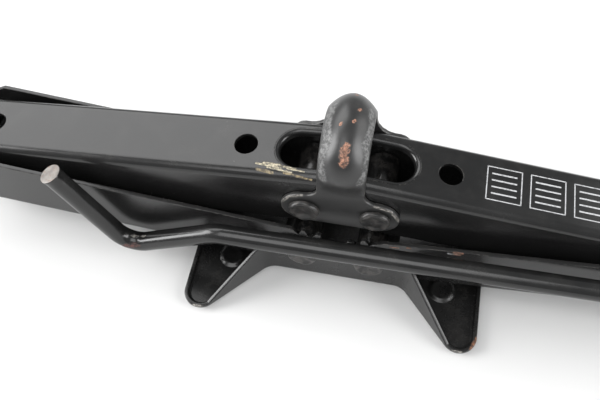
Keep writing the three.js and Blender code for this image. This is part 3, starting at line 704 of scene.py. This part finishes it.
# ---------------------------------------------------------------- print
def print_strokes():
    """Framed blocks of plain bars along the right upper arm's web: each a start, an end and a width."""
    strokes = []
    for start in PRINT_FROM:
        end = start + PRINT_LONG
        corners = [(start, -PRINT_HALF), (end, -PRINT_HALF), (end, PRINT_HALF), (start, PRINT_HALF)]
        strokes += [(a, b, PRINT_FRAME) for a, b in zip(corners, corners[1:] + corners[:1])]
        for row in range(1, PRINT_BARS + 1):
            y = PRINT_HALF * (1 - 2 * row / (PRINT_BARS + 1))
            strokes.append(((start + PRINT_MARGIN, y), (end - PRINT_MARGIN, y), PRINT_BAR))
    return strokes


def add_print():
    """A plain print in the web's own frame. It holds no letters, digits, symbols or pictures."""
    thin = 0.05
    pieces = []
    for start, end, width in print_strokes():
        run = Vector(end) - Vector(start)
        along = run.normalized() * width / 2
        side = Vector((-along.y, along.x))
        a, b = Vector(start) - along, Vector(end) + along
        outline = [tuple(corner) for corner in (a - side, b - side, b + side, a + side)]
        pieces.append(prism(outline, "z", UPPER["web"] - thin, UPPER["web"] + thin))
    place = Matrix.Translation((PIVOT_X, 0, HEAD_PIVOT.z)) @ Matrix.Rotation(WEB_TILT, 4, "Y")
    finish_piece(merge(pieces), "web_print", "upper_arm_right", printed_ink(), (), place)


# ---------------------------------------------------------------- arms in place
def on_upper_web(x, y):
    """The place on an upper arm's web, or on its round edge, over a point in plan."""
    past_flat = max(0.0, abs(y) - UPPER_OUT + ARM_CORNER_R)
    drop = ARM_CORNER_R - math.sqrt(max(0.0, ARM_CORNER_R**2 - past_flat**2))
    slope = (abs(x) - PIVOT_X) * math.tan(WEB_TILT)
    return x, y, HEAD_PIVOT.z + UPPER["web"] / math.cos(WEB_TILT) - slope - drop


def web_scratches():
    """Paint dragged off the left upper arm's front edge, next to the saddle."""
    dice = Random(8)
    marks = []
    for _ in range(8):
        x, y, half = dice.uniform(-44, -24), dice.uniform(-18, -12), dice.uniform(4, 10)
        slant = 0.12 * half
        ends = (on_upper_web(x - half, y + slant), on_upper_web(x + half, y - slant))
        marks.append((*ends, dice.uniform(0.5, 0.9), 2.6, dice.choice((CREAM, CREAM, OCHRE))))
    return marks


def flange_chips():
    """Small chips along the front edge of the right lower arm."""
    dice = Random(5)
    marks = []
    for _ in range(5):
        x, long = dice.uniform(4, 100), dice.uniform(1, 5)
        edge = BASE_PIVOT.z - LOWER["edge_in"] / math.cos(WEB_TILT) + (x - PIVOT_X) * math.tan(WEB_TILT)
        start = (x, -LOWER_OUT, edge - dice.uniform(0.5, 3))
        end = (x + long, -LOWER_OUT, start[2] + 0.1 * long)
        marks.append((start, end, dice.uniform(0.6, 1.2), 1.3, dice.choice((COPPER, RUST, CHALK))))
    return marks


def add_arms():
    marks = {"upper_left": web_scratches(), "lower_right": flange_chips()}
    for label, side in SIDES.items():
        place = Matrix.Translation((side * PIVOT_X, 0, HEAD_PIVOT.z))
        upper = arm_pressing(UPPER, side)
        tilt = Matrix.Rotation(side * WEB_TILT, 4, "Y")
        paint = black_paint(f"arm_paint_upper_{label}", marks.get(f"upper_{label}", ()))
        body = f"upper_arm_{label}"
        finish_piece(upper, f"upper_pressing_{label}", body, paint, [body], place @ tilt)

        place = Matrix.Translation((side * PIVOT_X, 0, BASE_PIVOT.z))
        lower = arm_pressing(LOWER, side)
        flip = Matrix.Rotation(-side * WEB_TILT, 4, "Y") @ Matrix.Rotation(math.pi, 4, "X")
        paint = black_paint(f"arm_paint_lower_{label}", marks.get(f"lower_{label}", ()))
        body = f"lower_arm_{label}"
        finish_piece(lower, f"lower_pressing_{label}", body, paint, [body], place @ flip)


# ---------------------------------------------------------------- foot
def foot_edge():
    """The foot's outer edge, anticlockwise from the middle of the front wall."""
    along = (math.cos(TOE_SLOPE), -math.sin(TOE_SLOPE))
    outward = (-math.sin(TOE_SLOPE), -math.cos(TOE_SLOPE))
    tip = (FOOT_HALF_X - TOE_R, -TOE_Y)
    touch = (tip[0] + TOE_R * outward[0], tip[1] + TOE_R * outward[1])
    corner_x = touch[0] - (touch[1] + FOOT_OUT) / along[1] * along[0]
    fillet_x = corner_x - TOE_FILLET_R * math.tan(TOE_SLOPE / 2)
    turn = math.pi / 2
    front = [(x, -FOOT_OUT) for x in range(0, int(fillet_x), 3)]
    fillet = arc(fillet_x, -FOOT_OUT - TOE_FILLET_R, TOE_FILLET_R, turn, turn - TOE_SLOPE, 14)
    slope_steps = 12
    slope = [
        tuple(Vector(fillet[-1]).lerp(Vector(touch), i / slope_steps)) for i in range(1, slope_steps)
    ]
    nose = arc(*tip, TOE_R, -turn - TOE_SLOPE, 0, 30)
    end = [(FOOT_HALF_X, y) for y in (-50, -40, -30, -20, -10, 0)]
    quarter = front + fillet + slope + nose + end
    half = quarter + [(x, -y) for x, y in reversed(quarter[:-1])]
    return half + [(-x, y) for x, y in reversed(half[1:-1])]


def foot_wall_height(x, y):
    across, deep = abs(x), abs(y)
    root_y, tip_y = TOE_HEIGHT_FROM, TOE_HEIGHT_TO
    if across > FOOT_HALF_X - TOE_R:
        return RIM_H
    if deep > root_y:
        share = (min(deep, tip_y) - root_y) / (tip_y - root_y)
        return TOE_ROOT_H + (RIM_H - TOE_ROOT_H) * share
    return blend_between(across, *FOOT_SHOULDER, FOOT_WALL_H, TOE_ROOT_H)


def foot_pressing():
    edge = foot_edge()
    count = len(edge)
    inward = []
    for i in range(count):
        run = Vector(edge[(i + 1) % count]) - Vector(edge[i - 1])
        inward.append(Vector((-run.y, run.x)).normalized())
    bend = [math.pi / 2 * i / 7 for i in range(8)]
    inner_r = FOOT_BEND_R - SHEET

    def section(height):
        lip = 0.8
        outside = [(FOOT_BEND_R * (1 - math.sin(t)), FOOT_BEND_R * (1 - math.cos(t))) for t in bend]
        crest = [(lip - lip * math.cos(t), height - lip + lip * math.sin(t)) for t in bend[::2]]
        crest += [(SHEET - d, z) for d, z in reversed(crest)]
        inside = [
            (FOOT_BEND_R - inner_r * math.sin(t), FOOT_BEND_R - inner_r * math.cos(t)) for t in reversed(bend)
        ]
        return outside + crest + inside

    sections = [section(foot_wall_height(*point)) for point in edge]
    rings = []
    for r in range(len(sections[0])):
        offsets = [(e, n, s[r]) for e, n, s in zip(edge, inward, sections)]
        rings.append([(x + n.x * d, y + n.y * d, z) for (x, y), n, (d, z) in offsets])
    work = skin(rings)
    dimple = [(0, 1), (9.4, 1), (9.4, 2.38), (8.3, 2.62), (7.2, 3.3), (6.4, 3.75), (5.6, 3.85), (4.7, 3.6)]
    dimple += [(3.8, 3.3), (0, 3.25)]
    combine(work, [turned(dimple, "z", (x, y, 0)) for x, y in DIMPLES], "UNION")
    return combine(work, pivot_holes(BASE_PIVOT.z, FOOT_OUT), "DIFFERENCE")


def add_foot():
    marks = (
        # The dark patch over the middle of the floor is painted shade, under the arms and the screw.
        ((-28, 0, 2.5), (28, 0, 2.5), 27.0, 0.4, UNDER_ARMS_SHADE),
        ((FOOT_HALF_X, -TOE_Y, RIM_H), (FOOT_HALF_X - 3, -TOE_Y - 7, RIM_H), 1.3, 1.4, RUST),
        ((FOOT_HALF_X - 8, -TOE_Y - TOE_R, RIM_H), (FOOT_HALF_X - 15, -TOE_Y - TOE_R, RIM_H), 1.0, 1.6, WORN),
        ((8 - FOOT_HALF_X, -TOE_Y - TOE_R, RIM_H), (15 - FOOT_HALF_X, -TOE_Y - TOE_R, RIM_H), 1.2, 1.6, WORN),
    )
    paint = black_paint("foot_paint", marks, gloss=0.25, wear=1.3, dust=1.0)
    finish_piece(foot_pressing(), "foot_pressing", "base", paint, ["base_foot"])


# ---------------------------------------------------------------- saddle
def saddle_wall_outline(top_edge, fillet_r):
    """A wall's outline: an ear under each pivot, a top edge, and a fillet up to the strap."""
    turn = math.pi / 2
    fillet = (STRAP_HALF + fillet_r, top_edge[-1][1] + fillet_r)
    right = [
        *arc(PIVOT_X, HEAD_PIVOT.z, EAR_R, -turn, 0, 20),
        *top_edge,
        *arc(*fillet, fillet_r, -turn, -2 * turn, 16),
    ]
    return right + [(-x, z) for x, z in reversed(right)]


def saddle_walls():
    """The front wall ends round its ears. The rear one goes up straight to a pair of round shoulders."""
    turn = math.pi / 2
    ear = arc(PIVOT_X, HEAD_PIVOT.z, EAR_R, 0, turn, 20)[1:]
    corner = (PIVOT_X + EAR_R - REAR_CORNER_R, REAR_SHOULDER_Z - REAR_CORNER_R)
    shoulder = arc(*corner, REAR_CORNER_R, 0, turn, 14)
    front = prism(saddle_wall_outline(ear, NECK_FILLET_R), "y", -SADDLE_OUT, SHEET - SADDLE_OUT)
    rear = prism(saddle_wall_outline(shoulder, REAR_FILLET_R), "y", SADDLE_OUT - SHEET, SADDLE_OUT)
    return [front, rear]


def strap_point(x, along, depth=0.0):
    """A place on the strap: x across it, and along its middle line from the arch's foot in front."""
    if along < 0:
        y, z, out_y, out_z = -SADDLE_OUT, ARCH_Z + along, -1, 0
    elif along > math.pi * SADDLE_OUT:
        y, z, out_y, out_z = SADDLE_OUT, ARCH_Z + math.pi * SADDLE_OUT - along, 1, 0
    else:
        angle = math.pi - along / SADDLE_OUT
        out_y, out_z = math.cos(angle), math.sin(angle)
        y, z = SADDLE_OUT * out_y, ARCH_Z + SADDLE_OUT * out_z
    crown = blend_between(z, CROWN_FROM_Z, CROWN_TO_Z, 0.0, STRAP_CROWN)
    stand = crown * (1 - (x / STRAP_HALF) ** 2) - depth
    return x, y + out_y * stand, z + out_z * stand


def strap():
    """A band up the front wall, over the arch and down the back, with a crown that fades into the walls."""
    rings, across = 108, 24
    leg = ARCH_Z - STRAP_FOOT_Z
    length = 2 * leg + math.pi * SADDLE_OUT
    steps = [STRAP_HALF * (2 * i / across - 1) for i in range(across + 1)]
    sections = []
    for i in range(rings + 1):
        along = length * i / rings - leg
        outside = [strap_point(x, along) for x in steps]
        sections.append(outside + [strap_point(x, along, SHEET) for x in reversed(steps)])
    return skin(sections)


def saddle_pressing():
    work = combine(strap(), saddle_walls(), "UNION")
    remesh = work.modifiers.new("even", "REMESH")
    remesh.mode = "VOXEL"
    remesh.voxel_size = 0.5
    smooth = work.modifiers.new("round", "SMOOTH")
    smooth.factor = 0.5
    smooth.iterations = 6
    settle(work)
    return combine(work, pivot_holes(HEAD_PIVOT.z, SADDLE_OUT), "DIFFERENCE")


def strap_chips():
    """Chips through to copper-brown on the strap: a worn patch in front, and small ones over its crown."""
    dice = Random(11)
    marks = []
    for count, low, high, across, radius in ((3, 15, 24, 5.0, 2.1), (5, 26, 58, 4.5, 0.9)):
        for i in range(count):
            along = low + (high - low) * (i + dice.random()) / count
            x = dice.uniform(-across, across)
            ends = (strap_point(x, along), strap_point(x + 0.6 * radius, along + 0.8 * radius))
            marks.append((*ends, radius * dice.uniform(0.85, 1.15), 2.2, COPPER))
    return marks


def add_saddle():
    marks = strap_chips()
    # A lighter band down each flank of the strap: partly rubbed paint, partly a painted highlight for the
    # light the flanks catch.
    for x, radius in ((-9.4, 3.6), (10.4, 2.8)):
        for along in (6, 25):
            span = (strap_point(x, along), strap_point(x, along + 19))
            marks.append((*span, radius, 1.6, BURNISH_AND_SHEEN))
    for side, turns in ((-1, (95, 130, 165)), (1, (95, 50, 5))):
        spots = [arc(side * PIVOT_X, HEAD_PIVOT.z, EAR_R - 0.5, math.radians(a), 0, 1)[0] for a in turns]
        rim = [(x, -SADDLE_OUT, z) for x, z in spots]
        marks += [(start, end, 0.9, 2.2, WORN) for start, end in zip(rim, rim[1:])]
    paint = black_paint("saddle_paint", marks, level=0.018, gloss=0.33, wear=1.7, dust=0.8, edge_size=1.7)
    finish_piece(saddle_pressing(), "saddle_pressing", "head", paint, ["head_saddle"])


# ---------------------------------------------------------------- pins, spacers and rings
def hammered(work, axis, beyond, depth, seed):
    """Dents the ends of a turned piece, where it reaches further than this from its middle along an axis."""
    middle = (min(v.co[axis] for v in work.data.vertices) + max(v.co[axis] for v in work.data.vertices)) / 2
    for vertex in work.data.vertices:
        if abs(vertex.co[axis] - middle) > beyond:
            spot = vertex.co * 0.22 + Vector((seed, 2 * seed, 3 * seed))
            vertex.co[axis] += depth * noise.noise(spot) + 0.3 * depth * noise.noise(4 * spot)
    return work


def rivet(x, z, wall_out, seed):
    """A rivet right through, with a dished and slightly uneven head on both walls."""
    seat = wall_out + GAP
    face = seat + RIVET_H
    head = [(PIN_R, seat), (RIVET_R - 0.5, seat), (RIVET_R, seat + 0.5), (RIVET_R, face - 1.3)]
    head += [(RIVET_R - 0.3, face - 0.6), (RIVET_R - 0.9, face - 0.15), (RIVET_R - 1.5, face)]
    head += [(6.6, face - 0.12), (6.0, face - 0.4), (5.0, face - 0.8), (3.6, face - 1.15)]
    head += [(1.8, face - 1.3), (0, face - 1.35)]
    profile = [(r, -y) for r, y in reversed(head)] + head
    return hammered(turned(profile, "y", (x, 0, z), 56), 1, face - 1.4, 0.7, seed)


def add_pins():
    paints = {
        "base": chipped_paint("foot_rivet_paint", level=0.02, gloss=0.36, chips=0.5),
        "head": chipped_paint("head_rivet_paint", level=0.012, gloss=0.3, chips=0.9),
    }
    spacer_paint = chipped_paint("spacer_paint", level=0.006, gloss=0.14, chips=0.15)
    seed = 1.3
    for label, side in SIDES.items():
        x = side * PIVOT_X
        for place, pivot, wall, inside in (
            ("base", BASE_PIVOT, FOOT_OUT, LOWER_OUT),
            ("head", HEAD_PIVOT, SADDLE_OUT, UPPER_OUT),
        ):
            pin = rivet(x, pivot.z, wall, seed)
            seed += 1.7
            replaced = [f"{place}_pin_{label}"]
            finish_piece(pin, f"{place}_rivet_{label}", place, paints[place], replaced)
            half = inside - SHEET - GAP
            spacer = turned(tube_profile(SPACER_R, PIN_R + GAP, -half, half, 0.6), "y", (x, 0, pivot.z))
            replaced = [f"{place}_spacer_{label}"]
            finish_piece(spacer, f"{place}_tube_{label}", place, spacer_paint, replaced)


# ---------------------------------------------------------------- trunnions and screw
def add_trunnions():
    block_steel = steel("block_finish", 0.16, (1.0, 0.97, 0.93), 0.8, 0.34, rust=0.35)
    ring_steel = steel("ring_finish", 0.30, (1.0, 0.98, 0.95), 0.9, 0.3)
    cap_steel = chipped_paint("cap_paint", chips=0.8)
    for label, side in SIDES.items():
        x = side * TRUNNION.x
        body = f"trunnion_{label}"
        half = UPPER_OUT - SHEET - GAP
        middle = (x, 0, TRUNNION.z)
        work = rod(BLOCK_R, "y", middle, half, 72)
        flats = box((x - BLOCK_FLAT, -half - 1, TRUNNION.z - 20), (x + BLOCK_FLAT, half + 1, TRUNNION.z + 20))
        combine(work, [flats], "INTERSECT")
        combine(work, [rod(JOURNAL_R, "y", middle, CAP_OUT + GAP)], "UNION")
        combine(work, [rod(SCREW_R + GAP, "x", middle, 2 * BLOCK_R)], "DIFFERENCE")
        soften(work, 0.6, 3)
        node = "trunnion_nut" if side < 0 else "trunnion_bearing"
        finish_piece(work, f"{node}_block", body, block_steel, [node])
        for face, end in {"front": -1, "back": 1}.items():
            for part, low, high, finish, slot in (
                ("ring", UPPER_OUT + GAP, LOWER_OUT - SHEET - GAP, ring_steel, "bare_steel"),
                ("cap", LOWER_OUT + GAP, CAP_OUT, cap_steel, "rivet_steel"),
            ):
                node = f"trunnion_{part}_{label}_{face}"
                profile = tube_profile(RING_R, JOURNAL_R + GAP, *sorted((end * low, end * high)))
                ring = turned(profile, "y", middle, 56)
                finish_piece(ring, f"{part}_{label}_{face}", body, finish, [node])


def threaded_screw():
    """The lead screw: a plain bar with a square-shouldered thread along its middle."""
    pitch, steps = 4.0, 24
    root_r, inner_r, chamfer = SCREW_R - 1.3, 4.0, 1.2
    start, end = SCREW_FROM + 6, TRUNNION.x - BLOCK_FLAT - 12
    ridge = ((0.12, root_r), (0.30, SCREW_R), (0.70, SCREW_R), (0.88, root_r))
    ridge += ((0.88, inner_r), (0.12, inner_r))
    sections = []
    for i in range(int((end - start) / pitch - 1) * steps + 1):
        angle = 2 * math.pi * i / steps
        x = start + pitch * i / steps
        spot = (math.cos(angle), math.sin(angle))
        sections.append([(x + share * pitch, r * spot[0], TRUNNION.z + r * spot[1]) for share, r in ridge])
    profile = [(0, SCREW_FROM), (SCREW_R - chamfer, SCREW_FROM), (SCREW_R, SCREW_FROM + chamfer)]
    profile += [(SCREW_R, start), (root_r + 0.02, start + 1), (root_r + 0.02, end - 1), (SCREW_R, end)]
    profile += [(SCREW_R, SCREW_TO - chamfer), (SCREW_R - chamfer, SCREW_TO), (0, SCREW_TO)]
    return combine(turned(profile, "x", (0, 0, TRUNNION.z)), [skin(sections)], "UNION")


def add_screw():
    thread_steel = steel("thread_finish", 0.20, (1.0, 0.97, 0.92), 0.9, 0.32, rust=0.3, scale=0.7)
    ring_steel = steel("stop_finish", 0.28, (1.0, 0.98, 0.95), 0.9, 0.32)
    work = threaded_screw()
    finish_piece(work, "screw_bar", "screw", thread_steel, ["lead_screw"], sharp=25)
    for name, node in {"end_stop": "screw_end_stop", "collar": "screw_collar"}.items():
        low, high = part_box(node)
        profile = tube_profile(THRUST_R, SCREW_R + GAP, low.x / MM, high.x / MM, 0.5)
        ring = turned(profile, "x", (0, 0, TRUNNION.z), 56)
        finish_piece(ring, f"screw_{name}_ring", "screw", ring_steel, [node])
    low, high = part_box("thrust_washer")
    profile = tube_profile(THRUST_R, SCREW_R + GAP, low.x / MM, high.x / MM, 0.25)
    washer = turned(profile, "x", (0, 0, TRUNNION.z), 56)
    finish_piece(washer, "washer_ring", "trunnion_right", ring_steel, ["thrust_washer"])


def add_bearing():
    """Two grooved races with balls between them."""
    low, high = (value.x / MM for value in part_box("thrust_bearing"))
    middle = (low + high) / 2
    bore, race, groove, ball_r, balls = SCREW_R + GAP, 1.4, 9.4, 1.25, 16
    bearing_steel = steel("bearing_finish", 0.36, (1.0, 0.98, 0.94), 1.0, 0.26, rust=0.3)
    pieces = [
        turned(tube_profile(THRUST_R, bore, *span, 0.25), "x", (0, 0, TRUNNION.z), 56)
        for span in ((low, low + race), (high - race, high))
    ]
    for i in range(balls):
        angle = 2 * math.pi * i / balls
        at = (middle, groove * math.cos(angle), TRUNNION.z + groove * math.sin(angle))
        pieces.append(turned(arc(0, 0, ball_r, -math.pi / 2, math.pi / 2, 10), "y", at, 16))
    finish_piece(merge(pieces), "bearing_races", "screw", bearing_steel, ["thrust_bearing"])


def add_yoke():
    z = TRUNNION.z
    hub_to = HUB_AT + YOKE_HUB_T
    lead_in = 1.5
    work = turned([(0, HUB_AT), (YOKE_HUB_R, HUB_AT), (YOKE_HUB_R, hub_to), (0, hub_to)], "x", (0, 0, z), 64)
    turn = math.pi / 2
    cheek = [(HUB_AT + lead_in, YOKE_CHEEK_R), (HUB_AT + lead_in, -YOKE_CHEEK_R)]
    cheek += arc(YOKE_PIN.x, 0, YOKE_CHEEK_R, -turn, turn, 30)
    spans = [sorted((z + end * YOKE_GAP, z + end * (YOKE_GAP + YOKE_CHEEK_T))) for end in (-1, 1)]
    cheeks = [prism(cheek, "z", *span) for span in spans]
    inside = YOKE_GAP + 1
    bridge = box((HUB_AT + lead_in, -YOKE_CHEEK_R, z - inside), (hub_to, YOKE_CHEEK_R, z + inside))
    combine(work, [bridge, *cheeks], "UNION")
    pin_hole = rod(YOKE_PIN_R + GAP, "z", YOKE_PIN, 20)
    combine(work, [rod(SCREW_R + GAP, "x", (HUB_AT, 0, z), 2 * YOKE_HUB_T), pin_hole], "DIFFERENCE")
    soften(work, 0.7, 3)
    paint = black_paint("yoke_paint", wear=1.6)
    finish_piece(work, "crank_fork", "screw", paint, ["screw_yoke"])

    low, high = (value.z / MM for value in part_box("yoke_pin"))
    head_r, head_h = 6.5, 2.5
    half = [(YOKE_PIN_R, high - head_h), (head_r - 0.3, high - head_h), (head_r, high - head_h + 0.3)]
    half += [(head_r, high - 1.0), (head_r - 0.5, high - 0.3), (head_r - 1.4, high)]
    half += [(2.4, high), (1.6, high - 0.5), (0, high - 0.6)]
    mirrored = [(r, low + high - along) for r, along in reversed(half)]
    pin = turned(mirrored + half, "z", (YOKE_PIN.x, 0, 0), 56)
    pin_paint = chipped_paint("fork_pin_paint", chips=0.8)
    finish_piece(pin, "fork_pin", "screw", pin_paint, ["yoke_pin"])


# ---------------------------------------------------------------- crank rod
def bent_line(corners, radii, step):
    """Points about a step apart, along straight stretches with a round bend at each corner."""
    corners = [Vector(c) for c in corners]
    stops = [corners[0]]
    line = []

    def straight(start, end):
        count = max(1, round((end - start).length / (4 * step)))
        return [start.lerp(end, i / count) for i in range(count)]

    start = corners[0]
    for before, corner, after, radius in zip(corners, corners[1:], corners[2:], radii):
        into, out = (corner - before).normalized(), (after - corner).normalized()
        turn = into.angle(out)
        reach = radius * math.tan(turn / 2)
        bend_from = corner - reach * into
        line += straight(start, bend_from)
        centre = bend_from + radius * (out - into * into.dot(out)).normalized()
        axis = into.cross(out).normalized()
        count = max(4, round(radius * turn / step))
        for i in range(count):
            line.append(centre + Quaternion(axis, turn * i / count) @ (bend_from - centre))
        start = corner + reach * out
    return line + straight(start, corners[-1]) + [corners[-1]]


def crank_rod():
    line = bent_line(ROD_CORNERS, ROD_BENDS, 1.6)
    sides = 40
    heading = (line[1] - line[0]).normalized()
    across = heading.orthogonal().normalized()
    rings = []
    for i, point in enumerate(line):
        ahead = (line[min(i + 1, len(line) - 1)] - line[max(i - 1, 0)]).normalized()
        across = (heading.rotation_difference(ahead) @ across).normalized()
        heading = ahead
        up = heading.cross(across)
        rings.append((point, across.copy(), up, heading.copy()))

    def ring(frame_at, radius, ahead=0.0):
        point, side, up, front = frame_at
        angles = [2 * math.pi * k / sides for k in range(sides)]
        return [point + ahead * front + radius * (math.cos(a) * side + math.sin(a) * up) for a in angles]

    sections = [ring(at, ROD_R) for at in rings[:-1]]
    last = rings[-1]
    flare = ((-4.5, 0.0), (-2.4, 0.12), (-1.2, 0.38), (-0.6, 0.42), (-0.25, 0.32), (-0.05, 0.05))
    sections += [ring(last, ROD_R + more, ahead) for ahead, more in flare]
    sections += [ring(last, radius, -0.02 if radius > 3 else 0.05) for radius in (5.6, 4.6, 3.4, 2.2, 1.0)]
    work = skin(sections)
    eye = rod(EYE_R, "z", YOKE_PIN, EYE_HALF_H, 56)
    combine(work, [eye], "UNION")
    combine(work, [rod(YOKE_PIN_R + GAP, "z", YOKE_PIN, 20)], "DIFFERENCE")
    return soften(work, 0.6, 3, 45)


def add_crank():
    elbow = Vector(ROD_CORNERS[-2])
    marks = (
        (elbow + Vector((0, -ROD_R, 7)), elbow + Vector((9, -ROD_R, 10)), 2.2, 1.6, DARK_RED),
        (elbow + Vector((5, 0, 12)), elbow + Vector((12, 0, 14)), 1.4, 2.0, WORN),
    )
    paint = black_paint("crank_paint", marks, gloss=0.2, wear=0.5)
    cut = steel("cut_end_finish", 0.24, (1.0, 0.93, 0.86), 0.25, 0.45, rust=0.85, scale=0.5)
    end, before = Vector(ROD_CORNERS[-1]), Vector(ROD_CORNERS[-2])
    front = (end - before).normalized()

    def on_cut_face(middle):
        return (middle - end).dot(front) > -0.35

    work = crank_rod()
    finish_piece(work, "crank_bar", "handle", [paint, cut], ["handle_rod"], bare=on_cut_face)


# ---------------------------------------------------------------- stage and light
def add_stage():
    half = 3.0
    mesh = bpy.data.meshes.new("floor")
    corners = [(-half, -half, 0), (half, -half, 0), (half, half, 0), (-half, half, 0)]
    mesh.from_pydata(corners, [], [(0, 1, 2, 3)])
    floor = bpy.data.objects.new("floor", mesh)
    floor.location.z = -0.0002
    bpy.context.scene.collection.objects.link(floor)
    mesh.materials.append(floor_finish())


def add_light():
    world = bpy.data.worlds.new("studio")
    world.use_nodes = True
    background = world.node_tree.nodes["Background"]
    background.inputs["Color"].default_value = (0.965, 0.985, 1.0, 1.0)
    background.inputs["Strength"].default_value = 0.4
    bpy.context.scene.world = world
    for name, direction, distance, width, height, radiance in (
        ("rear_left_box", (-0.52, 0.50, 0.69), 1.6, 1.25, 1.25, 3.4),
        ("rear_right_box", (0.80, 0.34, 0.50), 1.7, 1.1, 1.1, 2.2),
        ("left_box", (-0.96, -0.15, 0.36), 1.7, 0.9, 1.5, 10.0),
        ("right_box", (0.96, -0.22, 0.36), 1.7, 0.8, 1.5, 7.0),
        ("front_box", (-0.12, -0.49, 0.86), 1.7, 1.1, 1.1, 3.0),
    ):
        data = bpy.data.lights.new(name, "AREA")
        data.shape = "RECTANGLE"
        data.size = width
        data.size_y = height
        data.energy = math.pi * width * height * radiance
        light = bpy.data.objects.new(name, data)
        light.location = distance * Vector(direction).normalized()
        light.rotation_mode = "QUATERNION"
        light.rotation_quaternion = light.location.to_track_quat("Z", "Y")
        bpy.context.scene.collection.objects.link(light)
    bpy.context.scene.view_settings.view_transform = "Standard"


add_camera()
add_stage()
add_light()
add_arms()
add_print()
add_foot()
add_saddle()
add_pins()
add_trunnions()
add_screw()
add_bearing()
add_yoke()
add_crank()
